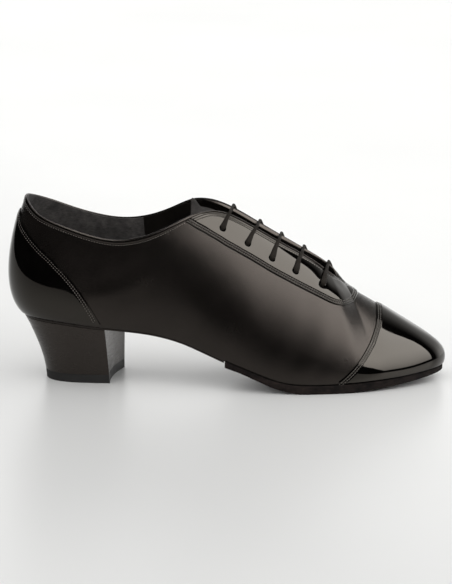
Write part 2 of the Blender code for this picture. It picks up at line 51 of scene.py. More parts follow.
# Feather line, where the upper meets the sole, from the centre of the heel to the toe.
# x from the back of the heel by length, lateral and medial y by ball width,
# lateral and medial height by seat height
FEATHER = (
    (0.0347, -0.031, -0.031, 1.000, 1.000),
    (0.0423, -0.142, 0.079, 0.995, 0.995),
    (0.0647, -0.235, 0.171, 0.986, 0.986),
    (0.0995, -0.294, 0.227, 0.969, 0.969),
    (0.1447, -0.323, 0.256, 0.941, 0.941),
    (0.2025, -0.331, 0.260, 0.896, 0.903),
    (0.2676, -0.323, 0.238, 0.853, 0.877),
    (0.3327, -0.317, 0.203, 0.799, 0.855),
    (0.3978, -0.342, 0.185, 0.706, 0.794),
    (0.4557, -0.389, 0.215, 0.573, 0.664),
    (0.5136, -0.438, 0.286, 0.429, 0.491),
    (0.5714, -0.475, 0.371, 0.296, 0.325),
    (0.6293, -0.490, 0.444, 0.171, 0.180),
    (0.6872, -0.485, 0.481, 0.126, 0.126),
    (0.7450, -0.460, 0.485, 0.126, 0.126),
    (0.7993, -0.419, 0.460, 0.137, 0.137),
    (0.8499, -0.360, 0.415, 0.152, 0.152),
    (0.8969, -0.281, 0.348, 0.166, 0.166),
    (0.9385, -0.190, 0.278, 0.185, 0.185),
    (0.9700, -0.102, 0.200, 0.201, 0.201),
    (0.9872, -0.022, 0.124, 0.211, 0.211),
    (0.9931, 0.052, 0.052, 0.213, 0.213),
)

# Upper edge over each of those sections: the collar, the throat, then the ridge of the vamp.
# lateral x, y, z and medial x, y, z by length, ball width and back height
EDGE = (
    (0.0380, -0.031, 1.012, 0.0380, -0.031, 1.012),
    (0.0463, -0.130, 0.986, 0.0463, 0.068, 1.001),
    (0.0705, -0.203, 0.934, 0.0705, 0.141, 0.976),
    (0.1031, -0.246, 0.896, 0.1031, 0.185, 0.945),
    (0.1465, -0.271, 0.859, 0.1465, 0.211, 0.905),
    (0.2007, -0.284, 0.819, 0.2007, 0.224, 0.868),
    (0.2604, -0.285, 0.797, 0.2604, 0.226, 0.850),
    (0.3201, -0.271, 0.819, 0.3201, 0.217, 0.870),
    (0.3725, -0.234, 0.869, 0.3725, 0.192, 0.921),
    (0.4231, -0.167, 0.926, 0.4195, 0.148, 0.976),
    (0.4738, -0.098, 0.951, 0.4702, 0.100, 0.981),
    (0.5280, -0.073, 0.905, 0.5280, 0.073, 0.922),
    (0.5823, -0.077, 0.830, 0.5823, 0.077, 0.842),
    (0.6347, -0.079, 0.757, 0.6347, 0.079, 0.767),
    (0.6835, -0.074, 0.690, 0.6835, 0.076, 0.699),
    (0.7360, -0.060, 0.604, 0.7360, 0.066, 0.615),
    (0.7649, 0.008, 0.543, 0.7649, 0.008, 0.543),
    (0.7993, 0.016, 0.488, 0.7993, 0.016, 0.488),
    (0.8391, 0.023, 0.430, 0.8391, 0.023, 0.430),
    (0.8807, 0.031, 0.366, 0.8807, 0.031, 0.366),
    (0.9186, 0.041, 0.308, 0.9186, 0.041, 0.308),
    (0.9367, 0.046, 0.280, 0.9367, 0.046, 0.280),
)

# Fullness of each section: how far it leans out and rises off the feather line,
# and how far it lies out and down from its edge, by ball width and back height
SWELL = (
    (0.152, 0.106, 0.099, 0.221),
    (0.146, 0.106, 0.097, 0.221),
    (0.131, 0.115, 0.092, 0.221),
    (0.115, 0.124, 0.085, 0.212),
    (0.098, 0.128, 0.077, 0.204),
    (0.083, 0.133, 0.065, 0.186),
    (0.073, 0.142, 0.056, 0.177),
    (0.062, 0.159, 0.058, 0.177),
    (0.056, 0.195, 0.083, 0.186),
    (0.056, 0.241, 0.125, 0.186),
    (0.056, 0.255, 0.161, 0.168),
    (0.059, 0.234, 0.177, 0.133),
    (0.062, 0.192, 0.182, 0.111),
    (0.065, 0.159, 0.182, 0.093),
    (0.069, 0.129, 0.182, 0.071),
    (0.065, 0.093, 0.188, 0.040),
    (0.065, 0.089, 0.198, 0.009),
    (0.061, 0.081, 0.188, 0.000),
    (0.059, 0.080, 0.172, 0.000),
    (0.059, 0.089, 0.151, 0.000),
    (0.050, 0.084, 0.135, 0.000),
    (0.046, 0.081, 0.131, 0.000),
)

# Under face of the forefoot sole: x by length, height by seat height
TREAD = (
    (0.480, 0.400),
    (0.499, 0.370),
    (0.535, 0.301),
    (0.553, 0.258),
    (0.582, 0.180),
    (0.613, 0.095),
    (0.645, 0.033),
    (0.676, 0.000),
    (0.790, 0.000),
    (0.825, 0.014),
    (0.855, 0.036),
    (0.897, 0.064),
    (0.940, 0.093),
    (0.970, 0.119),
    (1.000, 0.145),
)

# Heel from the floor to the seat: height, length share, width share
HEEL = (
    (0.000, 0.748, 0.787),
    (0.168, 0.762, 0.795),
    (0.320, 0.787, 0.815),
    (0.480, 0.824, 0.848),
    (0.660, 0.878, 0.895),
    (0.860, 0.944, 0.955),
    (1.000, 1.000, 1.000),
)

# Seams, each point a section number and a share of the way up it
EYESTAY_SEAM = (
    (8.75, 0.992),
    (9.32, 0.880),
    (9.89, 0.802),
    (10.49, 0.750),
    (11.05, 0.730),
    (11.81, 0.718),
    (12.80, 0.698),
    (13.78, 0.668),
    (14.30, 0.655),
    (14.65, 0.648),
    (15.11, 0.664),
    (15.60, 0.708),
    (16.04, 0.765),
    (16.36, 0.825),
    (16.66, 0.890),
    (16.86, 0.945),
    (16.92, 1.000),
)
CAP_SEAM = (
    (14.11, 0.000),
    (14.17, 0.022),
    (14.58, 0.120),
    (15.01, 0.217),
    (15.83, 0.393),
    (16.70, 0.585),
    (17.61, 0.843),
    (18.05, 1.000),
)
COUNTER_SEAM = (
    (0.00, 0.912),
    (0.74, 0.902),
    (1.18, 0.870),
    (1.87, 0.840),
    (2.44, 0.802),
    (3.32, 0.720),
    (4.00, 0.613),
    (4.31, 0.532),
    (4.57, 0.450),
    (4.84, 0.330),
    (5.08, 0.190),
    (5.28, 0.045),
)

# Bars of the lace from the collar to the toe: share that both eyelets sit at, and the section
# numbers of the lateral eyelet, the lateral edge, the medial edge and the medial eyelet
BARS = (
    (0.862, 10.39, 10.63, 10.72, 11.09),
    (0.820, 11.37, 11.75, 11.82, 12.21),
    (0.800, 12.33, 12.69, 12.74, 12.95),
    (0.780, 13.29, 13.76, 13.81, 13.85),
    (0.770, 14.38, 14.80, 14.85, 14.67),
)

# Folds of the leather: first and last section number and share, half width and depth in metres;
# a depth below nothing is a soft ridge
FOLDS = (
    (12.6, 0.20, 13.6, 0.52, 0.0050, 0.00028),
    (13.6, 0.16, 14.6, 0.44, 0.0045, 0.00022),
    (13.1, 0.18, 14.1, 0.48, 0.0045, -0.00020),
    (4.9, 0.52, 6.4, 0.72, 0.0070, 0.00030),
    (5.6, 0.46, 7.0, 0.62, 0.0060, -0.00022),
    (7.6, 0.84, 9.0, 0.62, 0.0060, 0.00020),
    (28.4, 0.20, 29.5, 0.55, 0.0050, 0.00030),
    (27.4, 0.18, 28.4, 0.50, 0.0045, 0.00024),
    (35.6, 0.50, 37.2, 0.72, 0.0070, 0.00028),
    (4.25, 0.11, 4.40, 0.15, 0.0022, 0.00030),
)

# Round dents in the outer side: section number, share, depth and reach in metres. The one in the
# front of the eyestay is a guess, chosen so that the patent there mirrors dark as in the photograph
DENTS = (
    (15.00, 0.90, 0.0016, 0.0088),
)


class Slot(Enum):
    """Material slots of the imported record."""

    SMOOTH = "smooth_leather"
    PATENT = "patent_leather"
    LINING = "lining"
    SUEDE = "sole_suede"
    TIP = "heel_tip"
    TEXTILE = "lace_textile"


class Side(Enum):
    """The two sides of the shoe."""

    LATERAL = 1
    MEDIAL = -1


@dataclass(frozen=True)
class Sizes:
    """Sizes of the shoe that its pieces share, metres unless a share or a section number."""

    length: float = 0.2765
    ball_width: float = 0.096
    seat_height: float = 0.0422
    back_height: float = 0.1130
    wall: float = 0.0018
    overlay: float = 0.0010
    gap: float = 0.0003
    middle_x: float = 0.5003
    middle_y: float = 0.0007
    ridge: int = 16
    overlay_foot: float = 0.045
    dent_way: tuple = (0.36, -0.50, 0.79)


SIZES = Sizes()
LAST = len(FEATHER) - 1
ROUND = 2 * LAST


def unit(vectors: Array) -> Array:
    """Vectors scaled to a length of one."""
    return vectors / np.linalg.norm(vectors, axis=-1, keepdims=True)


def ease(value: Array) -> Array:
    """Smooth step from 0 to 1."""
    held = np.clip(value, 0.0, 1.0)
    return held * held * (3.0 - 2.0 * held)


def bump_curve(value: Array, middle: float, spread: float) -> Array:
    """Bell from 0 to 1 round a middle value."""
    return np.exp(-(((value - middle) / spread) ** 2))


def both_sides(lateral: Array, medial: Array) -> Array:
    """One value per section round the whole shoe."""
    return np.concatenate([lateral, medial[-2:0:-1]])


class ClosedCurve:
    """A smooth curve through evenly spaced values that meets itself again."""

    def __init__(self, values: Array) -> None:
        """Solve the curve's bends.

        Args:
            values: one value per section round the shoe.
        """
        self.values = values
        count = len(values)
        turn = np.eye(count)
        grid = 4.0 * turn + np.roll(turn, 1, 0) + np.roll(turn, -1, 0)
        second = 6.0 * (np.roll(values, -1) - 2.0 * values + np.roll(values, 1))
        self.bend = np.linalg.solve(grid, second)

    def __call__(self, s: Array) -> Array:
        """Value at section number s."""
        count = len(self.values)
        whole = np.floor(s)
        i = whole.astype(int) % count
        j = (i + 1) % count
        b = s - whole
        a = 1.0 - b
        cubic = (a ** 3 - a) * self.bend[i] + (b ** 3 - b) * self.bend[j]
        return a * self.values[i] + b * self.values[j] + cubic / 6.0


class ShoeForm:
    """Outer surface of the upper, by section number round the shoe and share of the way up."""

    step: float = 0.01
    border: float = 0.012
    ridge_margin: float = 0.03
    ridge_step: float = 0.02
    on_top: float = 0.9999
    section_run: float = 0.0145
    share_run: float = 0.075
    fold_fade: float = 0.10

    def __init__(self, sizes: Sizes) -> None:
        """Turn the tables into smooth curves.

        Args:
            sizes: the shoe's shared sizes.
        """
        self.sizes = sizes
        foot = np.array(FEATHER)
        edge = np.array(EDGE)
        swell = np.array(SWELL)
        wide, back = sizes.ball_width, sizes.back_height
        found = {
            "foot_x": both_sides(foot[:, 0], foot[:, 0]) * sizes.length,
            "foot_y": both_sides(foot[:, 1], foot[:, 2]) * wide,
            "foot_z": both_sides(foot[:, 3], foot[:, 4]) * sizes.seat_height,
            "edge_x": both_sides(edge[:, 0], edge[:, 3]) * sizes.length,
            "edge_y": both_sides(edge[:, 1], edge[:, 4]) * wide,
            "edge_z": both_sides(edge[:, 2], edge[:, 5]) * back,
            "out": both_sides(swell[:, 0], swell[:, 0]) * wide,
            "rise": both_sides(swell[:, 1], swell[:, 1]) * back,
            "top_out": both_sides(swell[:, 2], swell[:, 2]) * wide,
            "top_down": both_sides(swell[:, 3], swell[:, 3]) * back,
        }
        self.curves = {name: ClosedCurve(values) for name, values in found.items()}
        self.hearts = [self.raw(np.array(s), np.array(t)) for s, t, _, _ in DENTS]

    def pick(self, prefix: str, s: Array) -> Array:
        """Point of one of the two border lines."""
        return np.stack([self.curves[prefix + axis](s) for axis in ("_x", "_y", "_z")], -1)

    def foot(self, s: Array) -> Array:
        """Point of the feather line."""
        return self.pick("foot", s)

    @staticmethod
    def section(s: Array) -> Array:
        """Section number counted from the heel on either side."""
        s = np.mod(s, ROUND)
        return np.minimum(s, ROUND - s)

    def edge(self, s: Array) -> Array:
        """Point of the upper edge; both sides share the ridge of the vamp."""
        own = self.pick("edge", s)
        shared = (own + self.pick("edge", ROUND - s)) / 2.0
        closing = ease(self.section(s) - self.sizes.ridge + 1.0)[..., None]
        return own + (shared - own) * closing

    def outward(self, s: Array) -> Array:
        """Level direction out of the feather line."""
        run = self.foot(s + self.step) - self.foot(s - self.step)
        return unit(np.stack([run[..., 1], -run[..., 0]], -1))

    def ridge_slope(self, s: Array) -> Array:
        """Fall of the vamp's ridge, so that both sides leave it on one tangent."""
        ridge = self.sizes.ridge
        r = self.section(s)
        held = np.clip(r, ridge + self.ridge_margin, LAST - self.ridge_margin)
        run = self.edge(held + self.ridge_step) - self.edge(held - self.ridge_step)
        return run[..., 2] / run[..., 0] * np.clip(r - ridge + 1.0, 0.0, 1.0)

    def form(self, s: Array, t: Array) -> Array:
        """Point of the surface: section s round the shoe, share t of the way up."""
        s, t = np.broadcast_arrays(np.asarray(s, float), np.asarray(t, float))
        points = self.raw(s, t)
        for middle, (_, _, depth, reach) in zip(self.hearts, DENTS):
            away = np.linalg.norm(points - middle, axis=-1, keepdims=True)
            points = points - depth * np.exp(-((away / reach) ** 2)) * np.array(self.sizes.dent_way)
        return points

    def raw(self, s: Array, t: Array) -> Array:
        """Point of the surface before it is dented."""
        low = self.foot(s)
        high = self.edge(s)
        side = self.outward(s)
        out = self.curves["out"](s)
        top_out = self.curves["top_out"](s)
        lean = np.stack([side[..., 0] * out, side[..., 1] * out, self.curves["rise"](s)], -1)
        fall = self.ridge_slope(s) * side[..., 0] * top_out - self.curves["top_down"](s)
        over = np.stack([side[..., 0] * top_out, side[..., 1] * top_out, fall], -1)
        t = t[..., None]
        q = 1.0 - t
        start = q ** 3 * low + 3.0 * q * q * t * (low + lean)
        return start + 3.0 * q * t * t * (high + over) + t ** 3 * high

    def normal(self, s: Array, t: Array) -> Array:
        """Direction out of the surface."""
        step = self.step
        t = np.clip(t, self.border, 1.0 - self.border)
        along = self.form(s + step, t) - self.form(s - step, t)
        up = self.form(s, t + step) - self.form(s, t - step)
        return unit(np.cross(along, up))

    def skin(self, s: Array, t: Array, offset: Array) -> Array:
        """Point off the surface by a distance; the ridge belongs to both sides."""
        away = self.normal(s, t)
        both = unit(away + self.normal(ROUND - s, t))
        on_ridge = (self.section(s) >= self.sizes.ridge) & (t > self.on_top)
        away = np.where(on_ridge[..., None], both, away)
        return self.form(s, t) + away * np.asarray(offset)[..., None]

    @classmethod
    def relief(cls, s: Array, t: Array) -> Array:
        """Depth of the leather's folds, none of it at the borders."""
        section_run, share_run, fade = cls.section_run, cls.share_run, cls.fold_fade
        x = np.mod(s, ROUND) * section_run
        y = t * share_run
        depth = np.zeros_like(x)
        for s0, t0, s1, t1, half, deep in FOLDS:
            start = np.array([s0 * section_run, t0 * share_run])
            run = np.array([s1 * section_run, t1 * share_run]) - start
            length = np.hypot(*run)
            ahead = ((x - start[0]) * run[0] + (y - start[1]) * run[1]) / length
            aside = ((x - start[0]) * run[1] - (y - start[1]) * run[0]) / length
            past = np.maximum(np.maximum(-ahead, ahead - length), 0.0)
            depth -= deep * np.exp(-((aside / half) ** 2) - (past / (2.0 * half)) ** 2)
        return depth * ease(t / fade) * ease((1.0 - t) / fade)

    def placed(self, points: Array) -> Array:
        """Move from the heel's back and the centre plane to the middle of the shoe."""
        sizes = self.sizes
        shift = (sizes.middle_x * sizes.length, sizes.middle_y * sizes.ball_width, 0.0)
        return points - np.array(shift)

    def lay(self, s: Array, t: Array, offset: Array) -> Array:
        """Point off the folded leather, in the row frame.

        Args:
            s: section numbers.
            t: shares of the way up; beyond 1 on the vamp is the other side.
            offset: distance off the surface, metres.

        Returns:
            The points, one row each.
        """
        s, t, offset = np.broadcast_arrays(s, t, np.asarray(offset, float))
        over = (t > 1.0) & (self.section(s) >= self.sizes.ridge)
        s = np.where(over, ROUND - s, s)
        t = np.where(over, 2.0 - t, t)
        return self.placed(self.skin(s, t, offset + self.relief(s, t)))

    def shifted(self, s: Array, t: Array, aside: float) -> tuple[Array, Array]:
        """Move a line on the surface sideways.

        Args:
            s: section numbers along the line.
            t: shares along the line.
            aside: distance to the left of the line, seen from outside, metres.

        Returns:
            Section numbers and shares of the parallel line.
        """
        step = self.step
        held = np.clip(t, step, 1.0 - step)
        by_s = (self.form(s + step, held) - self.form(s - step, held)) / (2.0 * step)
        by_t = (self.form(s, held + step) - self.form(s, held - step)) / (2.0 * step)
        run = unit(np.gradient(s)[:, None] * by_s + np.gradient(t)[:, None] * by_t)
        away = unit(np.cross(by_s, by_t))
        left = np.cross(away, run) * aside
        ss, st, tt = (by_s * by_s).sum(-1), (by_s * by_t).sum(-1), (by_t * by_t).sum(-1)
        want_s, want_t = (by_s * left).sum(-1), (by_t * left).sum(-1)
        det = ss * tt - st * st
        return s + (tt * want_s - st * want_t) / det, t + (ss * want_t - st * want_s) / det

    def across(self, s: Array, share: Array, inset: float) -> Array:
        """Point between the two feather lines.

        Args:
            s: section numbers on the lateral side.
            share: 0 at the lateral feather line, 1 at the medial one.
            inset: distance that both lines are drawn in, metres.

        Returns:
            Points in the last's own frame.
        """
        lateral = self.foot(s)
        medial = self.foot(ROUND - s)
        lateral[..., :2] -= self.outward(s) * inset
        medial[..., :2] -= self.outward(ROUND - s) * inset
        return lateral + (medial - lateral) * share[..., None]


SHOE = ShoeForm(SIZES)

# Smoothing of a seam's rows: length of the whole share in sections, points along it, and points
# that each one is averaged with on either side
SHARE_LENGTH = 4.0
SEAM_POINTS = 400
SEAM_SOFTNESS = 15


def follow(table: tuple, share: Array) -> tuple[Array, Array]:
    """Points along a table of section numbers and shares.

    Args:
        table: the seam's rows.
        share: positions from 0 at its start to 1 at its end.

    Returns:
        Section numbers and shares.
    """
    rows = np.array(table)
    steps = np.hypot(np.diff(rows[:, 0]), SHARE_LENGTH * np.diff(rows[:, 1]))
    length = np.concatenate([[0.0], np.cumsum(steps)])
    spread = np.linspace(0.0, 1.0, SEAM_POINTS)
    fine_s = np.interp(spread, length / length[-1], rows[:, 0])
    fine_t = np.interp(spread, length / length[-1], rows[:, 1])
    kernel = np.hanning(2 * SEAM_SOFTNESS + 1)
    kernel = kernel / kernel.sum()
    smooth = []
    for line in (fine_s, fine_t):
        padded = np.pad(line, SEAM_SOFTNESS, mode="reflect", reflect_type="odd")
        smooth.append(np.convolve(padded, kernel, mode="valid"))
    return np.interp(share, spread, smooth[0]), np.interp(share, spread, smooth[1])


@dataclass(frozen=True)
class Hem:
    """Border of a sewn layer: pulled down to its edge and quilted by its rows of thread."""

    roll: float = 0.00060
    reach: float = 0.0036
    groove: float = 0.00034
    pitch: float = 0.0014
    grooves: int = 2

    def rows(self) -> list[float]:
        """Distance of each row of thread from the edge, metres."""
        return [self.pitch * (i + 1) for i in range(self.grooves)]

    def drop(self, away: Array) -> Array:
        """How far the surface lies below the layer's full height.

        Args:
            away: distance from the layer's edge, metres.

        Returns:
            Distance down, metres.
        """
        down = self.roll * np.clip(1.0 - away / self.reach, 0.0, 1.0)
        quilted = self.groove * (1.0 + np.cos(2.0 * np.pi * away / self.pitch)) / 2.0
        return down + np.where(away < (self.grooves + 0.5) * self.pitch, quilted, 0.0)


def distance_to(points: Array, line: Array) -> Array:
    """Distance of each point from the nearest point of a finely spaced line."""
    tree = kdtree.KDTree(len(line))
    for i, place in enumerate(line):
        tree.insert(place, i)
    tree.balance()
    return np.array([tree.find(point)[2] for point in points])


class Workbench:
    """Makes meshes with bmesh operators and hands them over as the shoe's pieces."""

    merge: float = 2e-6
    rim_angle: float = math.radians(50.0)
    shade_angle: float = math.radians(42.0)

    @staticmethod
    def panel(columns: int, rows: int) -> bmesh.types.BMesh:
        """Flat grid from 0 to 1 both ways, with its UV map and its own measures."""
        made = bmesh.new()
        made.loops.layers.uv.new("UVMap")
        names = ("along", "across", "level")
        along, across, _ = [made.verts.layers.float.new(name) for name in names]
        bmesh.ops.create_grid(made, x_segments=columns, y_segments=rows, size=0.5, calc_uvs=True)
        bmesh.ops.translate(made, verts=made.verts, vec=(0.5, 0.5, 0.0))
        for vert in made.verts:
            vert[along] = vert.co.x
            vert[across] = vert.co.y
        return made

    @staticmethod
    def settle(made: bmesh.types.BMesh, place: Place) -> None:
        """Move each vertex to where its own measures say.

        Args:
            made: the mesh.
            place: gives points for along, across and level.
        """
        layers = [made.verts.layers.float[name] for name in ("along", "across", "level")]
        measures = np.array([[vert[layer] for layer in layers] for vert in made.verts])
        for vert, point in zip(made.verts, place(*measures.T)):
            vert.co = point

    @classmethod
    def body(cls, columns: int, rows: int, place: Place, levels: int = 1) -> bmesh.types.BMesh:
        """A closed body: a grid laid on its lower face and extruded to its upper one.

        Args:
            columns: faces along.
            rows: faces across.
            place: gives points for along, across and level, level from 0 to 1.
            levels: faces up the wall.

        Returns:
            The mesh, its faces turned outwards.
        """
        made = cls.panel(columns, rows)
        cls.settle(made, place)
        bmesh.ops.remove_doubles(made, verts=made.verts, dist=cls.merge)
        bmesh.ops.dissolve_degenerate(made, edges=made.edges, dist=cls.merge)
        grown = bmesh.ops.extrude_face_region(made, geom=made.faces[:])["geom"]
        level = made.verts.layers.float["level"]
        for vert in grown:
            if isinstance(vert, bmesh.types.BMVert):
                vert[level] = 1.0
        if levels > 1:
            rising = [e for e in made.edges if abs(e.verts[0][level] - e.verts[1][level]) > 0.5]
            bmesh.ops.subdivide_edges(made, edges=rising, cuts=levels - 1, use_grid_fill=True)
        cls.settle(made, place)
        cls.face_out(made)
        return made

    @staticmethod
    def face_out(made: bmesh.types.BMesh) -> None:
        """Turn the faces of a closed mesh outwards."""
        bmesh.ops.recalc_face_normals(made, faces=made.faces)
        if made.calc_volume(signed=True) < 0.0:
            bmesh.ops.reverse_faces(made, faces=made.faces)

    @classmethod
    def round_rims(cls, made: bmesh.types.BMesh, width: float, turns: int = 2) -> None:
        """Round the sharp edges.

        Args:
            made: the mesh.
            width: how far the rounding starts from the edge, metres.
            turns: faces across the rounding.
        """
        shared = [e for e in made.edges if len(e.link_faces) == 2]
        rims = [e for e in shared if e.calc_face_angle() > cls.rim_angle]
        bmesh.ops.bevel(
            made, geom=rims, offset=width, offset_type="OFFSET", segments=turns, profile=0.5,
            affect="EDGES", material=-1, clamp_overlap=True,
        )

    @classmethod
    def sleeve(cls, middle: Array, wide: Array, tall: Array, around: int, power: float = 2.0
               ) -> bmesh.types.BMesh:
        """A closed tube along a line.

        Args:
            middle: points of the line.
            wide: vector from the line to the side of the tube, a row for each point.
            tall: vector from the line to the top of the tube, a row for each point.
            around: faces round the tube.
            power: 2 gives an ellipse, more gives a rounded box.

        Returns:
            The mesh, its faces turned outwards.
        """
        count = len(middle) - 1

        def place(along: Array, across: Array, _level: Array) -> Array:
            i = np.round(along * count).astype(int)
            turn = 2.0 * np.pi * across
            x = np.sign(np.cos(turn)) * np.abs(np.cos(turn)) ** (2.0 / power)
            y = np.sign(np.sin(turn)) * np.abs(np.sin(turn)) ** (2.0 / power)
            return middle[i] + wide[i] * x[:, None] + tall[i] * y[:, None]

        made = cls.panel(count, around)
        cls.settle(made, place)
        bmesh.ops.remove_doubles(made, verts=made.verts, dist=cls.merge)
        open_edges = [e for e in made.edges if e.is_boundary]
        bmesh.ops.holes_fill(made, edges=open_edges, sides=0)
        cls.face_out(made)
        return made

    @classmethod
    def hand_over(cls, name: str, made: bmesh.types.BMesh, finish: bpy.types.Material, slot: Slot,
                  *nodes: str) -> bpy.types.Object:
        """Make the object, put it on the shoe's body and hide the CAD parts that it replaces.

        Args:
            name: name of the piece.
            made: its finished mesh.
            finish: its material.
            slot: not used.
            *nodes: CAD nodes that it replaces.

        Returns:
            The object.
        """
        data = bpy.data.meshes.new(name)
        made.to_mesh(data)
        made.free()
        data.materials.append(finish)
        data.shade_smooth()
        data.set_sharp_from_angle(angle=cls.shade_angle)
        piece = bpy.data.objects.new(name, data)
        bpy.context.scene.collection.objects.link(piece)
        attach(piece, BODY)
        if nodes:
            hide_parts(*nodes)
        LOG.info("%s: %d faces", name, len(data.polygons))
        return piece

    @staticmethod
    def punch(piece: bpy.types.Object, cutter: bpy.types.Object) -> None:
        """Cut the eyelet holes through a piece and keep the result as its own mesh."""
        cut = piece.modifiers.new("eyelets", "BOOLEAN")
        cut.operation = "DIFFERENCE"
        cut.solver = "EXACT"
        cut.object = cutter
        graph = bpy.context.evaluated_depsgraph_get()
        data = bpy.data.meshes.new_from_object(piece.evaluated_get(graph))
        piece.modifiers.clear()
        piece.data = data


class NodeDesk:
    """A node tree with a short way to add nodes and join them."""

    def __init__(self, tree: bpy.types.NodeTree) -> None:
        """Hold the tree."""
        self.tree = tree

    def add(self, kind: str, joins: dict | None = None, **settings: object) -> bpy.types.Node:
        """Add a node.

        Args:
            kind: the node's type.
            joins: input name or number to a value or to another node's output.
            **settings: the node's own properties.

        Returns:
            The node.
        """
        node = self.tree.nodes.new(kind)
        for name, value in settings.items():
            setattr(node, name, value)
        for name, value in (joins or {}).items():
            if isinstance(value, bpy.types.NodeSocket):
                self.tree.links.new(value, node.inputs[name])
            else:
                node.inputs[name].default_value = value
        return node

    def maths(self, operation: str, first: object, second: object = 0.0) -> bpy.types.NodeSocket:
        """Result of a sum on one or two values."""
        return self.add("ShaderNodeMath", {0: first, 1: second}, operation=operation).outputs[0]

    def spread(self, value: object, low: float, high: float, start: float = 0.0, end: float = 1.0
               ) -> bpy.types.NodeSocket:
        """A value mapped from one range to another and held there."""
        joins = {0: value, 1: start, 2: end, 3: low, 4: high}
        return self.add("ShaderNodeMapRange", joins, clamp=True).outputs[0]

    def blend(self, share: object, first: object, second: object) -> bpy.types.NodeSocket:
        """A colour between two colours."""
        node = self.add("ShaderNodeMix", {0: share}, data_type="RGBA")
        for number, value in ((6, first), (7, second)):
            if isinstance(value, bpy.types.NodeSocket):
                self.tree.links.new(value, node.inputs[number])
            else:
                node.inputs[number].default_value = (*value, 1.0)
        return node.outputs[2]


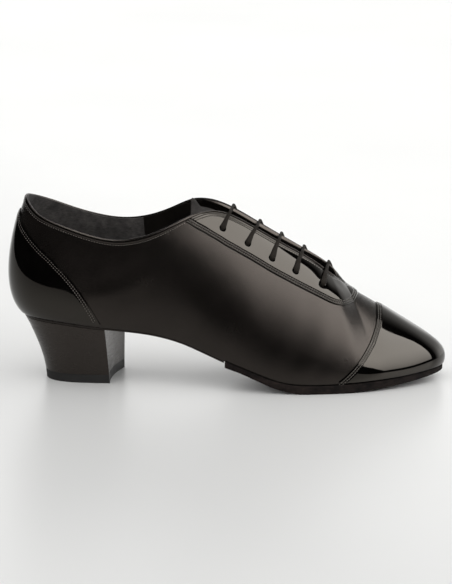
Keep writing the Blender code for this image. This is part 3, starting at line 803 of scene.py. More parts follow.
class EffectKit:
    """Effects that more than one finish uses, each a node group built once."""

    def __init__(self) -> None:
        """Build the groups."""
        self.grain = self.make_grain()
        self.wear = self.make_wear()
        self.nap = self.make_nap()
        self.braid = self.make_braid()

    @staticmethod
    def start(name: str, inputs: tuple[str, ...], outputs: tuple[str, ...]
              ) -> tuple[NodeDesk, bpy.types.Node, bpy.types.Node]:
        """An empty group with its sockets.

        Args:
            name: name of the group.
            inputs: names of its number inputs.
            outputs: names of its number outputs.

        Returns:
            The desk, the group's input node and its output node.
        """
        tree = bpy.data.node_groups.new(name, "ShaderNodeTree")
        for socket in inputs:
            tree.interface.new_socket(socket, in_out="INPUT", socket_type="NodeSocketFloat")
        for socket in outputs:
            tree.interface.new_socket(socket, in_out="OUTPUT", socket_type="NodeSocketFloat")
        desk = NodeDesk(tree)
        return desk, desk.add("NodeGroupInput"), desk.add("NodeGroupOutput")

    def make_grain(self) -> bpy.types.NodeTree:
        """Pores and fine wrinkles of leather."""
        desk, given, out = self.start("leather_grain", ("Scale",), ("Height", "Tone"))
        where = desk.add("ShaderNodeTexCoord").outputs["Object"]
        scale = given.outputs["Scale"]
        bend = desk.add("ShaderNodeTexNoise", {"Vector": where, "Scale": scale, "Detail": 2.0})
        pull = desk.add("ShaderNodeVectorMath", {0: bend.outputs["Color"], 1: (0.0004,) * 3},
                        operation="MULTIPLY")
        moved = desk.add("ShaderNodeVectorMath", {0: where, 1: pull.outputs[0]}, operation="ADD")
        pores = desk.add("ShaderNodeTexVoronoi", {"Vector": moved.outputs[0], "Scale": scale},
                         feature="DISTANCE_TO_EDGE")
        plate = desk.spread(pores.outputs["Distance"], 0.0, 1.0, 0.0, 0.18)
        broad = desk.add("ShaderNodeTexNoise", {"Vector": where, "Scale": 55.0, "Detail": 3.0})
        fine = desk.maths("MULTIPLY", bend.outputs["Fac"], 0.35)
        desk.tree.links.new(desk.maths("ADD", plate, fine), out.inputs["Height"])
        desk.tree.links.new(broad.outputs["Fac"], out.inputs["Tone"])
        return desk.tree

    def make_wear(self) -> bpy.types.NodeTree:
        """Faint handling marks and dust: a slow cloud with small specks in it."""
        desk, given, out = self.start("handling_marks", ("Scale", "Specks"), ("Mask", "Waves"))
        where = desk.add("ShaderNodeTexCoord").outputs["Object"]
        cloud = desk.add("ShaderNodeTexNoise", {"Vector": where, "Scale": given.outputs["Scale"],
                                                "Detail": 4.0, "Roughness": 0.6})
        specks = desk.add("ShaderNodeTexNoise", {"Vector": where, "Scale": given.outputs["Specks"],
                                                 "Detail": 1.0})
        spotted = desk.spread(specks.outputs["Fac"], 0.0, 1.0, 0.66, 0.78)
        soft = desk.spread(cloud.outputs["Fac"], 0.0, 0.8, 0.42, 0.75)
        both = desk.maths("MAXIMUM", desk.maths("MULTIPLY", spotted, 0.3), soft)
        desk.tree.links.new(both, out.inputs["Mask"])
        desk.tree.links.new(cloud.outputs["Fac"], out.inputs["Waves"])
        return desk.tree

    def make_nap(self) -> bpy.types.NodeTree:
        """Brushed fibres of suede."""
        desk, given, out = self.start("suede_nap", ("Scale",), ("Height", "Tone"))
        where = desk.add("ShaderNodeTexCoord").outputs["Object"]
        stretch = desk.add("ShaderNodeMapping", {"Vector": where, "Scale": (0.45, 1.0, 1.0)})
        fibres = desk.add("ShaderNodeTexNoise", {"Vector": stretch.outputs[0],
                                                 "Scale": given.outputs["Scale"], "Detail": 4.0,
                                                 "Roughness": 0.7})
        brushed = desk.add("ShaderNodeTexNoise", {"Vector": where, "Scale": 140.0, "Detail": 3.0})
        tone = desk.maths("MULTIPLY", fibres.outputs["Fac"], brushed.outputs["Fac"])
        desk.tree.links.new(fibres.outputs["Fac"], out.inputs["Height"])
        desk.tree.links.new(desk.spread(tone, 0.0, 1.0, 0.12, 0.42), out.inputs["Tone"])
        return desk.tree

    def make_braid(self) -> bpy.types.NodeTree:
        """Crossing strands on a cord's own UV map, or the slanted ribs of a rolled edge; the tone is
        painted shade that darkens the grooves, with random fuzz in it.
        """
        names = ("Along", "Around", "Crossed")
        desk, given, out = self.start("braided_strands", names, ("Height", "Tone"))
        where = desk.add("ShaderNodeUVMap", uv_map="UVMap").outputs[0]
        apart = desk.add("ShaderNodeSeparateXYZ", {0: where})
        along = desk.maths("MULTIPLY", apart.outputs[0], given.outputs["Along"])
        around = desk.maths("MULTIPLY", apart.outputs[1], given.outputs["Around"])
        right = desk.maths("SINE", desk.maths("MULTIPLY", desk.maths("ADD", along, around), 2 * math.pi))
        left = desk.maths("SINE", desk.maths("MULTIPLY", desk.maths("SUBTRACT", along, around),
                                             2 * math.pi))
        crossed = desk.maths("MAXIMUM", right, left)
        chosen = desk.add("ShaderNodeMix", {0: given.outputs["Crossed"], 2: right, 3: crossed})
        height = desk.spread(chosen.outputs[0], 0.0, 1.0, -1.0, 1.0)
        fuzz = desk.add("ShaderNodeTexNoise", {"Scale": 2600.0, "Detail": 2.0})
        desk.tree.links.new(height, out.inputs["Height"])
        # Tone: painted shade that darkens the grooves between the strands, times a random fuzz.
        desk.tree.links.new(desk.maths("MULTIPLY", height, fuzz.outputs["Fac"]), out.inputs["Tone"])
        return desk.tree


class Finish:
    """Common start of the shoe's materials."""

    def __init__(self, name: str) -> None:
        """A material with its shader.

        Args:
            name: name of the material.
        """
        self.material = bpy.data.materials.new(name)
        self.material.use_nodes = True
        self.desk = NodeDesk(self.material.node_tree)
        self.shader = self.material.node_tree.nodes["Principled BSDF"]

    def group(self, tree: bpy.types.NodeTree, **values: float) -> bpy.types.Node:
        """Place a shared effect with this finish's own values."""
        node = self.desk.add("ShaderNodeGroup", node_tree=tree)
        for name, value in values.items():
            node.inputs[name].default_value = value
        return node

    def bump(self, height: bpy.types.NodeSocket, distance: float, strength: float = 1.0) -> None:
        """Raise the surface by a height."""
        joins = {"Height": height, "Distance": distance, "Strength": strength}
        node = self.desk.add("ShaderNodeBump", joins)
        self.desk.tree.links.new(node.outputs[0], self.shader.inputs["Normal"])

    def set(self, **values: float | tuple) -> None:
        """Set plain values of the shader; an underscore stands for a space."""
        for name, value in values.items():
            self.shader.inputs[name.replace("_", " ")].default_value = value

    def feed(self, **sources: bpy.types.NodeSocket) -> None:
        """Join sockets to the shader; an underscore stands for a space."""
        for name, source in sources.items():
            self.desk.tree.links.new(source, self.shader.inputs[name.replace("_", " ")])


WARM = (1.0, 0.87, 0.77, 1.0)


@dataclass(frozen=True)
class SmoothLeather:
    """Satin black leather with a warm brown cast in its highlights."""

    name: str = "smooth_leather_black"
    dark: tuple = (0.0024, 0.0020, 0.0019)
    light: tuple = (0.0048, 0.0040, 0.0037)
    grain_scale: float = 1700.0
    grain_depth: float = 0.000036
    rough_low: float = 0.25
    rough_high: float = 0.29

    def make(self, kit: EffectKit) -> bpy.types.Material:
        """Build the material from the shared effects."""
        finish = Finish(self.name)
        desk = finish.desk
        grain = finish.group(kit.grain, Scale=self.grain_scale)
        marks = finish.group(kit.wear, Scale=38.0, Specks=900.0)
        tone = desk.spread(grain.outputs["Tone"], 0.0, 1.0, 0.35, 0.65)
        finish.feed(
            Base_Color=desk.blend(tone, self.dark, self.light),
            Roughness=desk.spread(marks.outputs["Mask"], self.rough_low, self.rough_high),
        )
        finish.set(Specular_IOR_Level=0.41, IOR=1.5, Specular_Tint=WARM)
        finish.bump(grain.outputs["Height"], self.grain_depth, 0.6)
        return finish.material


@dataclass(frozen=True)
class PatentLeather:
    """Black leather below a thick clear lacquer."""

    name: str = "patent_leather_black"
    dark: tuple = (0.0006, 0.0005, 0.0005)
    light: tuple = (0.0016, 0.0014, 0.0013)
    wave_depth: float = 0.00010
    rough_low: float = 0.035
    rough_high: float = 0.075

    def make(self, kit: EffectKit) -> bpy.types.Material:
        """Build the material from the shared effects."""
        finish = Finish(self.name)
        desk = finish.desk
        marks = finish.group(kit.wear, Scale=46.0, Specks=1100.0)
        finish.feed(
            Base_Color=desk.blend(marks.outputs["Mask"], self.dark, self.light),
            Roughness=desk.spread(marks.outputs["Mask"], self.rough_low, self.rough_high),
        )
        finish.set(Specular_IOR_Level=0.5, IOR=1.5, Specular_Tint=(1.0, 0.91, 0.80, 1.0))
        finish.bump(marks.outputs["Waves"], self.wave_depth, 0.35)
        return finish.material


@dataclass(frozen=True)
class NappedLeather:
    """Suede: heel lining, sock or sole."""

    name: str
    dark: tuple
    light: tuple
    nap_scale: float = 900.0
    nap_depth: float = 0.00012
    roughness: float = 0.92
    sheen: float = 0.25
    gloss: float = 0.2

    def make(self, kit: EffectKit) -> bpy.types.Material:
        """Build the material from the shared effects."""
        finish = Finish(self.name)
        desk = finish.desk
        nap = finish.group(kit.nap, Scale=self.nap_scale)
        finish.feed(
            Base_Color=desk.blend(nap.outputs["Tone"], self.dark, self.light),
            Roughness=desk.spread(nap.outputs["Height"], self.roughness - 0.08, self.roughness + 0.06),
        )
        finish.set(Specular_IOR_Level=self.gloss, Sheen_Weight=self.sheen, Sheen_Roughness=0.5)
        finish.bump(nap.outputs["Height"], self.nap_depth, 0.8)
        return finish.material


@dataclass(frozen=True)
class HeelCover:
    """Smooth sprayed heel with faint level brush marks."""

    name: str = "heel_cover_black"
    dark: tuple = (0.0040, 0.0033, 0.0032)
    light: tuple = (0.0075, 0.0064, 0.0061)
    rough_low: float = 0.24
    rough_high: float = 0.38
    mark_depth: float = 0.00003

    def make(self, kit: EffectKit) -> bpy.types.Material:
        """Build the material from the shared effects."""
        finish = Finish(self.name)
        desk = finish.desk
        marks = finish.group(kit.wear, Scale=60.0, Specks=1000.0)
        where = desk.add("ShaderNodeTexCoord").outputs["Object"]
        flat = desk.add("ShaderNodeMapping", {"Vector": where, "Scale": (0.08, 0.08, 1.0)})
        brushed = desk.add("ShaderNodeTexNoise", {"Vector": flat.outputs[0], "Scale": 1500.0,
                                                  "Detail": 3.0})
        finish.feed(
            Base_Color=desk.blend(marks.outputs["Mask"], self.dark, self.light),
            Roughness=desk.spread(brushed.outputs["Fac"], self.rough_low, self.rough_high, 0.3, 0.7),
        )
        finish.set(Specular_Tint=WARM)
        finish.bump(brushed.outputs["Fac"], self.mark_depth, 0.5)
        return finish.material


@dataclass(frozen=True)
class HeelTip:
    """Dull black rubber under the heel."""

    name: str = "heel_tip_rubber"
    dark: tuple = (0.0060, 0.0052, 0.0050)
    light: tuple = (0.0160, 0.0140, 0.0130)

    def make(self, kit: EffectKit) -> bpy.types.Material:
        """Build the material from the shared effects."""
        finish = Finish(self.name)
        marks = finish.group(kit.wear, Scale=120.0, Specks=1400.0)
        finish.feed(
            Base_Color=finish.desk.blend(marks.outputs["Mask"], self.dark, self.light),
            Roughness=finish.desk.spread(marks.outputs["Mask"], 0.55, 0.75),
        )
        finish.bump(marks.outputs["Waves"], 0.0001, 0.4)
        return finish.material


@dataclass(frozen=True)
class Strands:
    """Braided lace, twisted sewing thread or the ribbed edge of the topline."""

    name: str
    dark: tuple
    light: tuple
    along: float
    around: float
    crossed: float = 1.0
    depth: float = 0.0002
    roughness: float = 0.75
    sheen: float = 0.2
    gloss: float = 0.5

    def make(self, kit: EffectKit) -> bpy.types.Material:
        """Build the material from the shared effects."""
        finish = Finish(self.name)
        braid = finish.group(kit.braid, Along=self.along, Around=self.around, Crossed=self.crossed)
        # Base colour is darker in the grooves of the braid or ribs: painted shade, with random fuzz.
        finish.feed(
            Base_Color=finish.desk.blend(braid.outputs["Tone"], self.dark, self.light),
            Roughness=finish.desk.spread(braid.outputs["Height"], self.roughness, self.roughness - 0.1),
        )
        finish.set(Sheen_Weight=self.sheen, Specular_Tint=WARM, Specular_IOR_Level=self.gloss)
        finish.bump(braid.outputs["Height"], self.depth, 0.8)
        return finish.material


@dataclass(frozen=True)
class StudioFloor:
    """Pale lacquered board that mirrors the shoe faintly; its colour is painted darker towards the left
    and the camera, as painted shade of the light's fall-off.
    """

    name: str = "studio_floor"
    # Colours of the floor at its painted lit end and at its painted shaded end.
    colour: tuple = (0.80, 0.80, 0.795)
    painted_shade: tuple = (0.66, 0.66, 0.658)
    rough_low: float = 0.32
    rough_high: float = 0.36

    def make(self, kit: EffectKit) -> bpy.types.Material:
        """Build the material from the shared effects."""
        finish = Finish(self.name)
        desk = finish.desk
        marks = finish.group(kit.wear, Scale=3.0, Specks=60.0)
        where = desk.add("ShaderNodeTexCoord").outputs["Object"]
        # Painted shade: the floor's colour darkens towards the left and the camera, standing in for the
        # fall-off of the light, with the faint floor marks mixed in.
        lit = desk.add("ShaderNodeVectorMath", {0: where, 1: (1.6, 0.9, 0.0)}, operation="DOT_PRODUCT")
        cloud = desk.maths("MULTIPLY", marks.outputs["Mask"], 0.05)
        share = desk.spread(desk.maths("SUBTRACT", lit.outputs["Value"], cloud), 0.0, 1.0, -0.25, 0.40)
        finish.feed(
            Base_Color=desk.blend(share, self.painted_shade, self.colour),
            Roughness=finish.desk.spread(marks.outputs["Mask"], self.rough_low, self.rough_high),
        )
        return finish.material


class Finishes:
    """All materials of the shoe and its floor."""

    def __init__(self, kit: EffectKit) -> None:
        """Build each material once.

        Args:
            kit: the shared effects.
        """
        self.smooth = SmoothLeather().make(kit)
        self.front_lining = SmoothLeather(
            name="front_lining_black", dark=(0.004, 0.0034, 0.003), light=(0.007, 0.006, 0.005),
            rough_low=0.5, rough_high=0.6,
        ).make(kit)
        self.patent = PatentLeather().make(kit)
        self.heel_lining = NappedLeather(
            "heel_lining_suede", (0.024, 0.022, 0.021), (0.080, 0.073, 0.070), sheen=0.12).make(kit)
        self.tongue = NappedLeather(
            "tongue_suede", (0.014, 0.012, 0.011), (0.042, 0.037, 0.034), sheen=0.05).make(kit)
        self.sock = NappedLeather(
            "sock_leather", (0.018, 0.016, 0.015), (0.040, 0.036, 0.034), sheen=0.15).make(kit)
        self.sole = NappedLeather(
            "sole_suede_black", (0.003, 0.0022, 0.002), (0.020, 0.014, 0.012),
            nap_scale=700.0, nap_depth=0.0003, sheen=0.02, gloss=0.1).make(kit)
        self.heel = HeelCover().make(kit)
        self.tip = HeelTip().make(kit)
        self.binding = Strands(
            "topline_binding_leather", (0.0012, 0.0010, 0.0009), (0.0034, 0.0028, 0.0026),
            along=620.0, around=3.0, crossed=0.0, depth=0.00003, roughness=0.20, sheen=0.0).make(kit)
        self.lace = Strands(
            "lace_braid", (0.003, 0.0025, 0.002), (0.024, 0.020, 0.016), along=560.0, around=5.0,
            depth=0.0003, roughness=0.85, sheen=0.02, gloss=0.2).make(kit)
        self.thread = Strands(
            "sewing_thread", (0.050, 0.045, 0.040), (0.200, 0.182, 0.165), along=3.0, around=1.0,
            crossed=0.0, depth=0.00005, roughness=0.45).make(kit)
        self.floor = StudioFloor().make(kit)


@dataclass
class Upper:
    """Smooth leather of the vamp and quarters with its linings."""

    around: int = 420
    up: int = 56
    leather: float = 0.0011
    lining_gap: float = 0.00005
    lining_join: float = 6.7
    lining_rise: float = 0.030
    rim: float = 0.0003

    def shell(self, finish: bpy.types.Material) -> bpy.types.Object:
        """The outer leather, from the feather line to the topline and the ridge."""
        def place(along: Array, across: Array, level: Array) -> Array:
            return SHOE.lay(along * ROUND, across, (level - 1.0) * self.leather)

        made = Workbench.body(self.around, self.up, place)
        Workbench.round_rims(made, self.rim)
        return Workbench.hand_over("upper_leather", made, finish, Slot.SMOOTH, "upper")

    def lining(self, name: str, start: float, end: float, columns: int,
               finish: bpy.types.Material) -> bpy.types.Object:
        """Part of the lining between two section numbers.

        Args:
            name: name of the piece.
            start: first section number.
            end: last section number.
            columns: faces along.
            finish: its material.

        Returns:
            The piece.
        """
        thick = SIZES.wall - self.leather - self.lining_gap

        def place(along: Array, across: Array, level: Array) -> Array:
            s = start + (end - start) * along
            collar = 1.0 - ease((SHOE.section(s) - Topline.throat_start + 0.5) / 0.6)
            t = across * (1.0 + self.lining_rise * collar)
            return SHOE.lay(s, t, -SIZES.wall + level * thick)

        made = Workbench.body(columns, 40, place)
        return Workbench.hand_over(name, made, finish, Slot.LINING)

    def build(self, finishes: Finishes) -> bpy.types.Object:
        """Make the shell and both linings."""
        shell = self.shell(finishes.smooth)
        join = self.lining_join
        self.lining("heel_lining", -join, join, 90, finishes.heel_lining)
        self.lining("front_lining", join, ROUND - join, 200, finishes.front_lining)
        return shell


@dataclass
class Overlays:
    """Patent eyestay, toe cap and counter, cut from the upper's own surface."""

    rim: float = 0.00030
    low: float = 0.00005
    throat_knots: tuple = ((0.0, 9.0), (0.10, 10.0), (0.80, 15.3), (1.0, 16.05))
    dimple_depth: float = 0.0005
    dimple_width: float = 0.0026
    seam_hem: Hem = Hem()
    counter_hem: Hem = Hem(roll=0.00045, groove=0.00014)
    throat_hem: Hem = Hem(roll=0.00020, groove=0.00022, pitch=0.0015)
    stay_rows: tuple = ((0.0, 0.34, 0.66, 1.0), (0.0, 0.19, 0.80, 1.0))
    cap_columns: tuple = ((0.0, 0.38, 1.0), (0.0, 0.15, 1.0))
    counter_rows: tuple = ((0.0, 0.58, 1.0), (0.0, 0.86, 1.0))

    def dimples(self, points: Array) -> Array:
        """How far the laces press the eyestay in round each eyelet."""
        depth = np.zeros(len(points))
        for s, t in Laces.spots():
            middle = SHOE.lay(np.array([s]), np.array([t]), SIZES.overlay)
            away = np.linalg.norm(points - middle, axis=-1)
            depth += self.dimple_depth * np.exp(-((away / self.dimple_width) ** 2))
        return depth

    def sheet(self, columns: int, rows: int, chart: Callable[[Array, Array], tuple],
              hems: list[tuple[Hem, Array, Array]], dimpled: bool = False) -> bmesh.types.BMesh:
        """A patent layer over the upper.

        Args:
            columns: faces along.
            rows: faces across.
            chart: gives section number and share for along and across.
            hems: each hem with section numbers and shares of its edge.
            dimpled: whether it is pressed in round the eyelets.

        Returns:
            The mesh, its rims rounded.
        """
        high = SIZES.gap + SIZES.overlay
        borders = [(hem, SHOE.lay(s, t, high)) for hem, s, t in hems]

        def place(along: Array, across: Array, level: Array) -> Array:
            s, t = chart(along, across)
            full = SHOE.lay(s, t, high)
            drop = self.dimples(full) if dimpled else np.zeros(len(full))
            for hem, line in borders:
                drop = drop + hem.drop(distance_to(full, line))
            return SHOE.lay(s, t, self.low + level * (high - drop - self.low))

        made = Workbench.body(columns, rows, place)
        Workbench.round_rims(made, self.rim)
        return made

    @staticmethod
    def mirrored(s: Array, t: Array) -> tuple[Array, Array]:
        """A line and its twin on the other side, as one list of points."""
        return np.concatenate([s, ROUND - s]), np.concatenate([t, t])

    def eyestay(self, finish: bpy.types.Material) -> bpy.types.Object:
        """The U-shaped piece round the throat, from one rear end to the other."""
        knots = np.array(self.throat_knots)

        def chart(along: Array, across: Array) -> tuple[Array, Array]:
            lateral = along <= 0.5
            share = np.where(lateral, along, 1.0 - along) * 2.0
            seam_s, seam_t = follow(EYESTAY_SEAM, share)
            throat = np.interp(share, knots[:, 0], knots[:, 1])
            up = np.interp(across, *self.stay_rows)
            s = seam_s + (throat - seam_s) * up
            t = seam_t + (1.0 - seam_t) * up
            return np.where(lateral, s, ROUND - s), t

        seam = self.mirrored(*follow(EYESTAY_SEAM, np.linspace(0.0, 1.0, 1200)))
        throat = np.linspace(knots[0, 1], knots[-1, 1], 800)
        edge = self.mirrored(throat, np.ones_like(throat))
        hems = [(self.seam_hem, *seam), (self.throat_hem, *edge)]
        made = self.sheet(380, 84, chart, hems, dimpled=True)
        return Workbench.hand_over("eyestay_patent", made, finish, Slot.PATENT, "facing")

    def toe_cap(self, finish: bpy.types.Material) -> bpy.types.Object:
        """The cap over the toe, both sides joined along the ridge."""
        line_s, line_t = follow(CAP_SEAM, np.linspace(0.0, 1.0, 900))

        def chart(along: Array, across: Array) -> tuple[Array, Array]:
            t = SIZES.overlay_foot + (1.0 - SIZES.overlay_foot) * across
            seam = np.interp(t, line_t, line_s)
            lateral = along <= 0.5
            share = np.interp(np.where(lateral, along, 1.0 - along) * 2.0, *self.cap_columns)
            s = seam + (LAST - seam) * share
            return np.where(lateral, s, ROUND - s), t

        made = self.sheet(250, 90, chart, [(self.seam_hem, *self.mirrored(line_s, line_t))])
        return Workbench.hand_over("toe_cap_patent", made, finish, Slot.PATENT, "toe_cap")

    def counter(self, finish: bpy.types.Material) -> bpy.types.Object:
        """The heel patch, from one side round the back to the other."""
        foot = SIZES.overlay_foot

        def chart(along: Array, across: Array) -> tuple[Array, Array]:
            share = np.abs(2.0 * along - 1.0)
            seam_s, seam_t = follow(COUNTER_SEAM, share)
            foot_s = share * COUNTER_SEAM[-1][0]
            up = np.interp(across, *self.counter_rows)
            s = foot_s + (seam_s - foot_s) * up
            t = foot + (np.maximum(seam_t, foot + 0.01) - foot) * up
            return np.where(along > 0.5, s, -s), t

        seam = self.mirrored(*follow(COUNTER_SEAM, np.linspace(0.0, 1.0, 900)))
        made = self.sheet(210, 90, chart, [(self.counter_hem, *seam)])
        return Workbench.hand_over("counter_patent", made, finish, Slot.PATENT, "counter")

    def build(self, finishes: Finishes) -> bpy.types.Object:
        """Make the three overlays and return the eyestay."""
        stay = self.eyestay(finishes.patent)
        self.toe_cap(finishes.patent)
        self.counter(finishes.patent)
        return stay


@dataclass
class Topline:
    """Leather tape folded over the collar and the throat edges."""

    end: float = 15.6
    points: int = 620
    flap: float = 0.0005
    proud: float = 0.00045
    rise: float = 0.0026
    throat_rise: float = 0.0009
    lining_side: float = -0.0005
    throat_start: float = 8.9
    throat_end: float = 9.9
    throat_inside: float = 0.0003
    look_down: float = 0.015
    end_run: float = 0.5
    end_size: float = 0.25

    def build(self, finishes: Finishes) -> bpy.types.Object:
        """Make the tape as one sleeve from throat front to throat front round the heel."""
        s = np.linspace(-self.end, self.end, self.points)
        t = np.ones_like(s)
        away = SHOE.normal(s, t)
        up = unit(SHOE.form(s, t) - SHOE.form(s, t - self.look_down))
        up = unit(up - away * (up * away).sum(-1, keepdims=True))
        at_throat = ease((np.abs(s) - self.throat_start) / (self.throat_end - self.throat_start))
        outer = self.proud + at_throat * (SIZES.gap + SIZES.overlay)
        inner = SIZES.wall + self.lining_side + at_throat * (self.throat_inside - self.lining_side)
        ending = ease((self.end - np.abs(s)) / self.end_run)
        taper = ending * (1.0 - self.end_size) + self.end_size
        half = (outer + inner) / 2.0
        centre = (outer - inner) / 2.0
        top = self.rise + (self.throat_rise - self.rise) * at_throat
        tall = (self.flap + top) / 2.0 * taper
        lift = (top - self.flap) / 2.0
        middle = SHOE.placed(SHOE.form(s, t)) + away * centre[:, None] + up * lift[:, None]
        wide = away * (half * taper)[:, None]
        made = Workbench.sleeve(middle, wide, up * tall[:, None], 32)
        return Workbench.hand_over(
            "topline_binding", made, finishes.binding, Slot.SMOOTH, "collar_binding")


@dataclass
class Stitching:
    """Rows of sewing thread, each stitch a small bead lying along its seam."""

    pitch: float = 0.0017
    length: float = 0.0010
    width: float = 0.00046
    height: float = 0.00040
    collar_inset: float = 0.0010
    raised: float = 0.2
    look_up: float = 0.001
    look_ahead: float = 0.0004

    def row(self, made: bmesh.types.BMesh, s: Array, t: Array, offset: Array) -> None:
        """Sew one row.

        Args:
            made: mesh that the stitches are added to.
            s: section numbers along the row, closely spaced.
            t: shares along the row.
            offset: height of the row off the surface, metres.
        """
        line = SHOE.lay(s, t, offset)
        lifted = SHOE.lay(s, t, np.asarray(offset) + self.look_up)
        steps = np.linalg.norm(np.diff(line, axis=0), axis=-1)
        run = np.concatenate([[0.0], np.cumsum(steps)])
        count = int(run[-1] / self.pitch)
        marks = (np.arange(count) + 0.5) * self.pitch
        at = [np.interp(marks, run, line[:, k]) for k in range(3)]
        ahead = [np.interp(marks + self.look_ahead, run, line[:, k]) for k in range(3)]
        over = [np.interp(marks, run, lifted[:, k]) for k in range(3)]
        places, fronts, tops = (np.stack(found, -1) for found in (at, ahead, over))
        for place, front, top in zip(places, fronts, tops):
            forward = Vector(front - place).normalized()
            up = Vector(top - place).normalized()
            side = forward.cross(up).normalized()
            turn = Matrix((side * self.width, up * self.height, forward * self.length)).transposed()
            stitch = bmesh.new()
            bmesh.ops.create_uvsphere(
                stitch, u_segments=6, v_segments=4, radius=0.5,
                matrix=Matrix.Translation(Vector(place)) @ turn.to_4x4(),
            )
            bead = bpy.data.meshes.new("stitch")
            stitch.to_mesh(bead)
            stitch.free()
            made.from_mesh(bead)
            bpy.data.meshes.remove(bead)

    def seam(self, name: str, hem: Hem, lines: list[tuple[Array, Array]], left: bool,
             finish: bpy.types.Material) -> bpy.types.Object:
        """Rows in the grooves of one or more seam lines.

        Args:
            name: name of the piece.
            hem: hem that the rows lie in.
            lines: section numbers and shares of each seam.
            left: whether the rows lie to the left of the lines, seen from outside.
            finish: thread material.

        Returns:
            The piece.
        """
        made = bmesh.new()
        for s, t in lines:
            for inset in hem.rows():
                offset = SIZES.gap + SIZES.overlay - hem.drop(np.array(inset)) + self.height * self.raised
                row_s, row_t = SHOE.shifted(s, t, inset if left else -inset)
                self.row(made, row_s, row_t, np.full(len(row_s), offset))
        return Workbench.hand_over(name, made, finish, Slot.LINING)

    def build(self, finishes: Finishes) -> None:
        """Sew the toe cap, the counter, the eyestay and the topline."""
        cap_s, cap_t = follow(CAP_SEAM, np.linspace(0.03, 1.0, 400))
        caps = [(cap_s, cap_t), (ROUND - cap_s[::-1], cap_t[::-1])]
        self.seam("toe_cap_stitches", Overlays.seam_hem, caps, False, finishes.thread)
        back_s, back_t = follow(COUNTER_SEAM, np.linspace(0.0, 0.97, 400))
        backs = [(back_s, back_t), (-back_s[::-1], back_t[::-1])]
        self.seam("counter_stitches", Overlays.counter_hem, backs, False, finishes.thread)
        stay_s, stay_t = follow(EYESTAY_SEAM, np.linspace(0.02, 1.0, 400))
        stays = [(stay_s, stay_t), (ROUND - stay_s[::-1], stay_t[::-1])]
        self.seam("eyestay_stitches", Overlays.seam_hem, stays, True, finishes.thread)
        made = bmesh.new()
        for side in Side:
            collar = np.linspace(0.0, 9.2, 500)
            throat = np.linspace(9.35, 15.5, 400)
            hem = Overlays.throat_hem
            inset = hem.rows()[-1]
            sunk = SIZES.gap + SIZES.overlay - float(hem.drop(np.array(inset)))
            rows = ((collar, self.collar_inset, 0.0), (throat, inset, sunk))
            for line, inset, height in rows:
                s, t = SHOE.shifted(line, np.ones_like(line), -inset)
                high = height + self.height * self.raised
                self.row(made, s * side.value, t, np.full(len(s), high))
        Workbench.hand_over("topline_stitches", made, finishes.thread, Slot.LINING)


@dataclass
class Inside:
    """Tongue and sock."""

    tongue_top: float = 9.1
    tongue_front: float = 16.5
    tongue_side: float = 0.66
    tongue: float = 0.0020
    lift: float = 0.0100
    flick: float = 0.40
    tip_width: float = 0.11
    tucked: float = 0.30
    cushion: float = 0.0006
    depth: float = SIZES.wall + 4.0 * 0.0011 + 3.0 * SIZES.gap
    sock_thickness: float = 0.0022

    def flap(self, finish: bpy.types.Material) -> bpy.types.Object:
        """The tongue below the throat, its top corner bent up."""
        under = self.tucked

        def place(along: Array, across: Array, level: Array) -> Array:
            r = self.tongue_top + (self.tongue_front - self.tongue_top) * along ** 1.5
            deep = -self.depth - self.tongue * (1.0 - level)
            rising = np.clip(np.minimum(across, 1.0 - across) / under, 0.0, 1.0)
            t = self.tongue_side + (1.0 - self.tongue_side) * rising
            lateral = SHOE.skin(r, t, deep)
            medial = SHOE.skin(ROUND - r, t, deep)
            bridge = np.clip((across - under) / (1.0 - 2.0 * under), 0.0, 1.0)
            point = np.where((across <= 0.5)[:, None], lateral, medial)
            over = lateral + (medial - lateral) * bridge[:, None]
            inner = (across > under) & (across < 1.0 - under)
            point = np.where(inner[:, None], over, point)
            tip = bump_curve(r, self.tongue_top, self.flick) * bump_curve(across, 0.5, self.tip_width)
            point[:, 2] += self.lift * tip
            return SHOE.placed(point)

        made = Workbench.body(70, 60, place)
        Workbench.round_rims(made, 0.0004)
        return Workbench.hand_over("tongue_flap", made, finish, Slot.LINING, "tongue")

    def sock(self, finish: bpy.types.Material) -> bpy.types.Object:
        """The covered insole, slightly dished at the heel."""
        def place(along: Array, across: Array, level: Array) -> Array:
            rows = SHOE.across(along * LAST, across, SIZES.wall + 2.0 * SIZES.gap)
            cushion = np.sin(np.pi * across) * self.cushion
            rows[:, 2] += 2.0 * SIZES.gap + level * (self.sock_thickness - cushion)
            return SHOE.placed(rows)

        made = Workbench.body(150, 36, place)
        return Workbench.hand_over("sock", made, finish, Slot.LINING, "insole")

    def build(self, finishes: Finishes) -> None:
        """Make the tongue and the sock."""
        self.flap(finishes.tongue)
        self.sock(finishes.sock)


